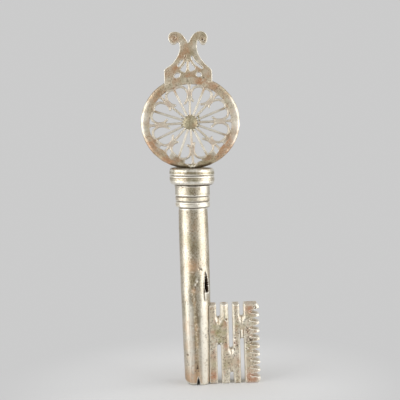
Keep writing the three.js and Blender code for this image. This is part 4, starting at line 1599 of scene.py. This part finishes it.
@dataclass
class Crown:
    """The pierced plate over the bow, with two horns rolled outwards; lengths in mm."""

    forge: Forge
    bow: Bow
    half_depth: float = 1.6
    seat: float = 1.7
    # Each opening is cut at this share of its drawn size
    tight: float = 0.88
    outline: tuple[Point, ...] = (
        (-10.2, 128.2), (-10.2, 131.5), (-10.1, 132.2), (-9.7, 132.75), (-8.98, 133.2),
        (-7.91, 133.85), (-6.83, 134.7), (-5.75, 135.88), (-4.87, 137.18), (-4.07, 138.6),
        (-3.58, 140.04), (-3.38, 141.28), (-3.44, 142.4), (-3.67, 143.2), (-4.04, 143.54),
        (-4.55, 143.3), (-5.2, 142.85), (-5.83, 142.6), (-6.6, 142.8), (-7.35, 143.4),
        (-7.9, 144.35), (-8.1, 145.36), (-7.92, 146.35), (-7.45, 147.1), (-6.7, 147.6),
        (-5.72, 147.78), (-4.75, 147.78), (-3.71, 147.55), (-2.76, 147.05), (-1.98, 146.34),
        (-1.25, 145.36), (-0.57, 144.18), (0.06, 142.88), (0.73, 144.1), (1.39, 145.29),
        (2.14, 146.34), (3.0, 147.1), (3.94, 147.58), (5.04, 147.78), (6.1, 147.7),
        (7.12, 147.15), (7.85, 146.15), (8.1, 145.09), (8.0, 143.95), (7.58, 143.0),
        (6.95, 142.35), (6.3, 142.15), (5.62, 142.5), (5.05, 143.1), (4.67, 143.8),
        (4.3, 144.2), (4.0, 143.88), (3.81, 143.14), (3.66, 141.9), (3.68, 140.66),
        (3.88, 139.41), (4.35, 138.07), (5.06, 136.76), (5.99, 135.45), (7.0, 134.21),
        (8.08, 133.23), (8.9, 132.5), (9.45, 131.75), (9.66, 130.86), (9.66, 129.28),
        (9.62, 127.6))
    openings: tuple[tuple[Point, ...], ...] = (
        ((-1.86, 136.6), (-2.8, 136.15), (-3.49, 135.42), (-4.28, 134.45), (-4.72, 133.61),
         (-4.5, 133.16), (-4.0, 133.22), (-3.4, 133.95), (-2.7, 134.85), (-2.15, 135.69)),
        ((-0.61, 136.1), (-1.13, 135.6), (-1.52, 135.0), (-1.8, 134.3), (-2.58, 133.42),
         (-3.54, 132.52), (-3.66, 132.0), (-3.26, 131.5), (-2.4, 131.1), (-1.78, 130.84),
         (-1.4, 130.8), (-1.08, 131.59), (-0.75, 132.41), (-0.7, 133.2), (-0.8, 134.16),
         (-0.68, 134.9)),
        ((0.4, 136.2), (0.22, 135.37), (0.26, 134.54), (0.1, 133.5), (0.1, 132.47),
         (0.34, 131.51), (0.62, 130.88), (1.09, 131.2), (1.82, 131.56), (2.7, 131.88),
         (3.04, 132.38), (2.7, 133.08), (1.9, 133.9), (1.18, 134.75), (0.75, 135.56)),
        ((0.8, 138.25), (1.34, 138.03), (1.82, 137.2), (2.37, 136.18), (3.1, 135.42),
         (4.04, 134.52), (4.98, 133.66), (5.9, 132.88), (6.45, 132.2), (6.05, 131.9),
         (5.26, 132.26), (4.3, 132.86), (3.47, 133.4), (2.57, 134.25), (1.85, 135.3),
         (1.25, 136.48), (0.86, 137.5)),
        ((-6.32, 129.45), (-6.12, 130.1), (-5.42, 130.74), (-4.47, 130.96), (-3.63, 130.85),
         (-3.38, 130.33), (-3.58, 129.64), (-4.17, 129.05), (-5.03, 128.78), (-5.87, 128.8)),
        ((2.86, 129.77), (2.96, 130.38), (3.41, 130.94), (4.11, 131.08), (4.9, 130.8),
         (5.42, 130.18), (5.47, 129.6), (4.94, 129.11), (4.14, 129.0), (3.34, 129.12)))

    def build(self) -> None:
        """Makes the crown."""
        forge = self.forge
        wide, tall = self.bow.half_width - self.seat, self.bow.half_height - self.seat
        seat = [(x, self.bow.centre + tall * math.sqrt(1 - (x / wide) ** 2))
                for x in np.linspace(self.outline[-1][0], self.outline[0][0], 16)]
        crown = forge.slab([*self.outline, *seat], self.half_depth)
        crown.name = "crown_pierced"
        holes = [np.array(hole) for hole in self.openings]
        forge.cut(crown, [forge.slab(
            (hole.mean(axis=0) + (hole - hole.mean(axis=0)) * self.tight).tolist(),
            self.half_depth + 1) for hole in holes])
        forge.fuse(crown, self.bow.voxel, 5)
        forge.chase(crown, (
            Line(((-6.3, 143.8), (-7.0, 144.6), (-7.1, 145.6), (-6.6, 146.45), (-5.55, 146.65),
                  (-4.6, 146.15), (-4.25, 145.3), (-4.7, 144.5), (-5.5, 144.35), (-5.95, 144.9),
                  (-5.7, 145.5), (-5.1, 145.5)), 0.2, 0.12, 0.5),
            Line(((-5.7, 145.1), (-5.3, 145.2)), 0.3, 0.12, 0.3),
            Line(((4.9, 144.0), (4.8, 144.8), (5.2, 145.6), (6.0, 146.05), (6.85, 145.75),
                  (7.25, 145.0), (7.15, 144.1), (6.6, 143.45), (5.85, 143.4)), 0.2, 0.12, 0.55),
            Line(((6.0, 144.3), (6.1, 144.2)), 0.34, 0.35, 1.0),
            Line(((-1.7, 136.75), (-1.2, 137.4), (-1.0, 138.0)), 0.2, 0.22),
            Line(((-1.2, 141.0), (-0.6, 140.2)), 0.25, 0.1, 0.3),
            Line(((-0.2, 136.4), (-0.2, 133.6), (-0.3, 131.4)), 0.34, -0.12),
            Line(((-5.9, 127.6), (-5.6, 128.3)), 0.3, 0.15),
            Line(((5.8, 128.9), (6.5, 128.5)), 0.25, 0.15)))
        forge.wear(crown, Surface(dent_width=1.6, dent_depth=0.06, pit_width=0.4, pit_depth=0.02,
                                  pit_share=0.0, edge_height=0.045, blur=4), Finish.FILED)
        forge.mark(crown, {
            Stain.COPPER: (
                (-0.8, 140, 2, 0.5), (-3, 137.6, 1.6, 0.5), (-5.2, 133, 1.6, 0.5),
                (-7.8, 130.5, 2.4, 0.4), (7.8, 129.6, 1.8, 0.4), (-5.4, 145.2, 1.6, 0.6),
                (6, 144.8, 1.2, 0.25), (0.5, 129.3, 2.5, 0.5)),
            Stain.OLIVE_AND_SHADE: (
                (6.2, 131.6, 1.8, 0.8), (2.4, 139.5, 1.8, 0.6), (3, 129, 2, 0.6),
                (-2, 128.6, 2, 0.5)),
            Stain.HIGHLIGHT_AND_RUB: (
                (3.4, 141.5, 1.8, 0.5), (4.4, 139, 1.8, 0.5), (4.6, 135.5, 1.5, 0.4),
                (-3.2, 143, 1.4, 0.4), (7, 131, 1.2, 0.4))})
        forge.hand_over(crown, Slot.IRON, *(f"crown_{part}" for part in (
            "base", "horn_left", "horn_right", "strut_left", "strut_right", "stem")))


@dataclass
class Studio:
    """A pale floor, two tall soft lamps at the sides and the camera of the photograph."""

    key_axis: float
    pale: float = 0.6
    floor_radius: float = 0.1
    near: float = 0.035
    far: float = 0.095
    lamp_distance: float = 0.55
    lamp_angles: tuple[float, float] = (-68.0, 75.0)
    lamp_width: float = 0.58
    lamp_height: float = 0.9
    lamp_rise: float = 0.14
    lamp_watts: float = 2.8
    sight_elevation: float = 4.4
    sight_distance: float = 0.367
    sight_roll: float = 1.75
    sight_lens: float = 78.75
    aim_from_axis: float = 3.05 * MM
    aim_height: float = 77.85 * MM

    def world(self) -> None:
        """Lights the scene evenly from all sides."""
        world = bpy.data.worlds.new("plain_studio")
        bpy.context.scene.world = world
        tree = cleared_tree(world)
        sky = add_node(tree, "ShaderNodeBackground",
                       {"Color": (1.0, 1.0, 1.0, 1.0), "Strength": self.pale})
        add_node(tree, "ShaderNodeOutputWorld", {"Surface": sky})

    def floor(self) -> None:
        """Lays a round matt floor that fades into the light behind it."""
        mesh = bpy.data.meshes.new("floor")
        turns = [2 * math.pi * step / 96 for step in range(96)]
        mesh.from_pydata([(self.floor_radius * math.cos(a), self.floor_radius * math.sin(a), 0.0)
                          for a in turns], [], [list(range(96))])
        paint = bpy.data.materials.new("matt_white_paper")
        tree = cleared_tree(paint)
        place = add_node(tree, "ShaderNodeTexCoord", out="Object")
        reach = add_node(tree, "ShaderNodeVectorMath", {0: place}, "Value", operation="LENGTH")
        fade = add_node(tree, "ShaderNodeMapRange", {
            "Value": reach, "From Min": self.near, "From Max": self.far},
            interpolation_type="SMOOTHSTEP")
        paper = add_node(tree, "ShaderNodeBsdfDiffuse", {"Color": linear("E4E4E4")})
        glow = add_node(tree, "ShaderNodeEmission", {"Strength": self.pale})
        both = add_node(tree, "ShaderNodeMixShader", {0: fade, 1: paper, 2: glow})
        add_node(tree, "ShaderNodeOutputMaterial", {"Surface": both})
        mesh.materials.append(paint)
        show("floor", mesh)

    def lamps(self) -> None:
        """Stands a tall soft lamp on each side of the key."""
        for turn, name in zip(self.lamp_angles, ("left_softbox", "right_softbox")):
            lamp = show(name, with_values(
                bpy.data.lights.new(name, "AREA"), shape="RECTANGLE", size=self.lamp_width,
                size_y=self.lamp_height, energy=self.lamp_watts))
            angle = math.radians(turn)
            lamp.location = (self.lamp_distance * math.sin(angle),
                             -self.lamp_distance * math.cos(angle), self.lamp_rise)
            aim = Vector((0, 0, self.aim_height)) - lamp.location
            lamp.rotation_euler = aim.to_track_quat("-Z", "Y").to_euler()

    def camera(self) -> None:
        """Places the camera of the photograph."""
        camera = show("photograph_view", with_values(
            bpy.data.cameras.new("photograph_view"), lens=self.sight_lens, sensor_width=36.0,
            clip_start=0.01, clip_end=20.0))
        bpy.context.scene.camera = camera
        rise = math.radians(self.sight_elevation)
        back = Vector((0, -math.cos(rise), math.sin(rise)))
        aim = Vector((self.key_axis + self.aim_from_axis, 0, self.aim_height))
        turned = Matrix.Rotation(math.radians(-self.sight_roll), 4, "Z")
        level = (-back).to_track_quat("-Z", "Y").to_matrix().to_4x4()
        camera.matrix_world = (Matrix.Translation(aim + back * self.sight_distance)
                               @ level @ turned)

    def build(self) -> None:
        """Sets up light, floor and camera."""
        self.world()
        self.floor()
        self.lamps()
        self.camera()
        log.info("studio: floor, two softboxes and the photograph's camera")
        bpy.context.scene.view_settings.view_transform = "Standard"


def main() -> None:
    """Builds the key's pieces in order."""
    logging.basicConfig(level=logging.INFO, format="%(message)s")
    low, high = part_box("neck_sleeve")
    key_axis = (low.x + high.x) / 2
    Studio(key_axis).build()
    forge = Forge(key_axis)
    finishes = {Slot.IRON: Finish.BURNISHED, Slot.BRIGHT: Finish.RUBBED,
                Slot.DARK: Finish.PATINATED, Slot.BRAZED: Finish.BRAZED}
    for part in frame["record"]["subparts"]:
        node = frame["nodes"][part["node"]]
        node.data.materials.clear()
        node.data.materials.append(forge.irons[finishes[Slot(part["material_slot"])]])
    Shank(forge).build()
    Bit(forge).build()
    Collar(forge).build()
    bow = Bow(forge)
    bow.build()
    Crown(forge, bow).build()


if __name__ == "__main__":
    main()
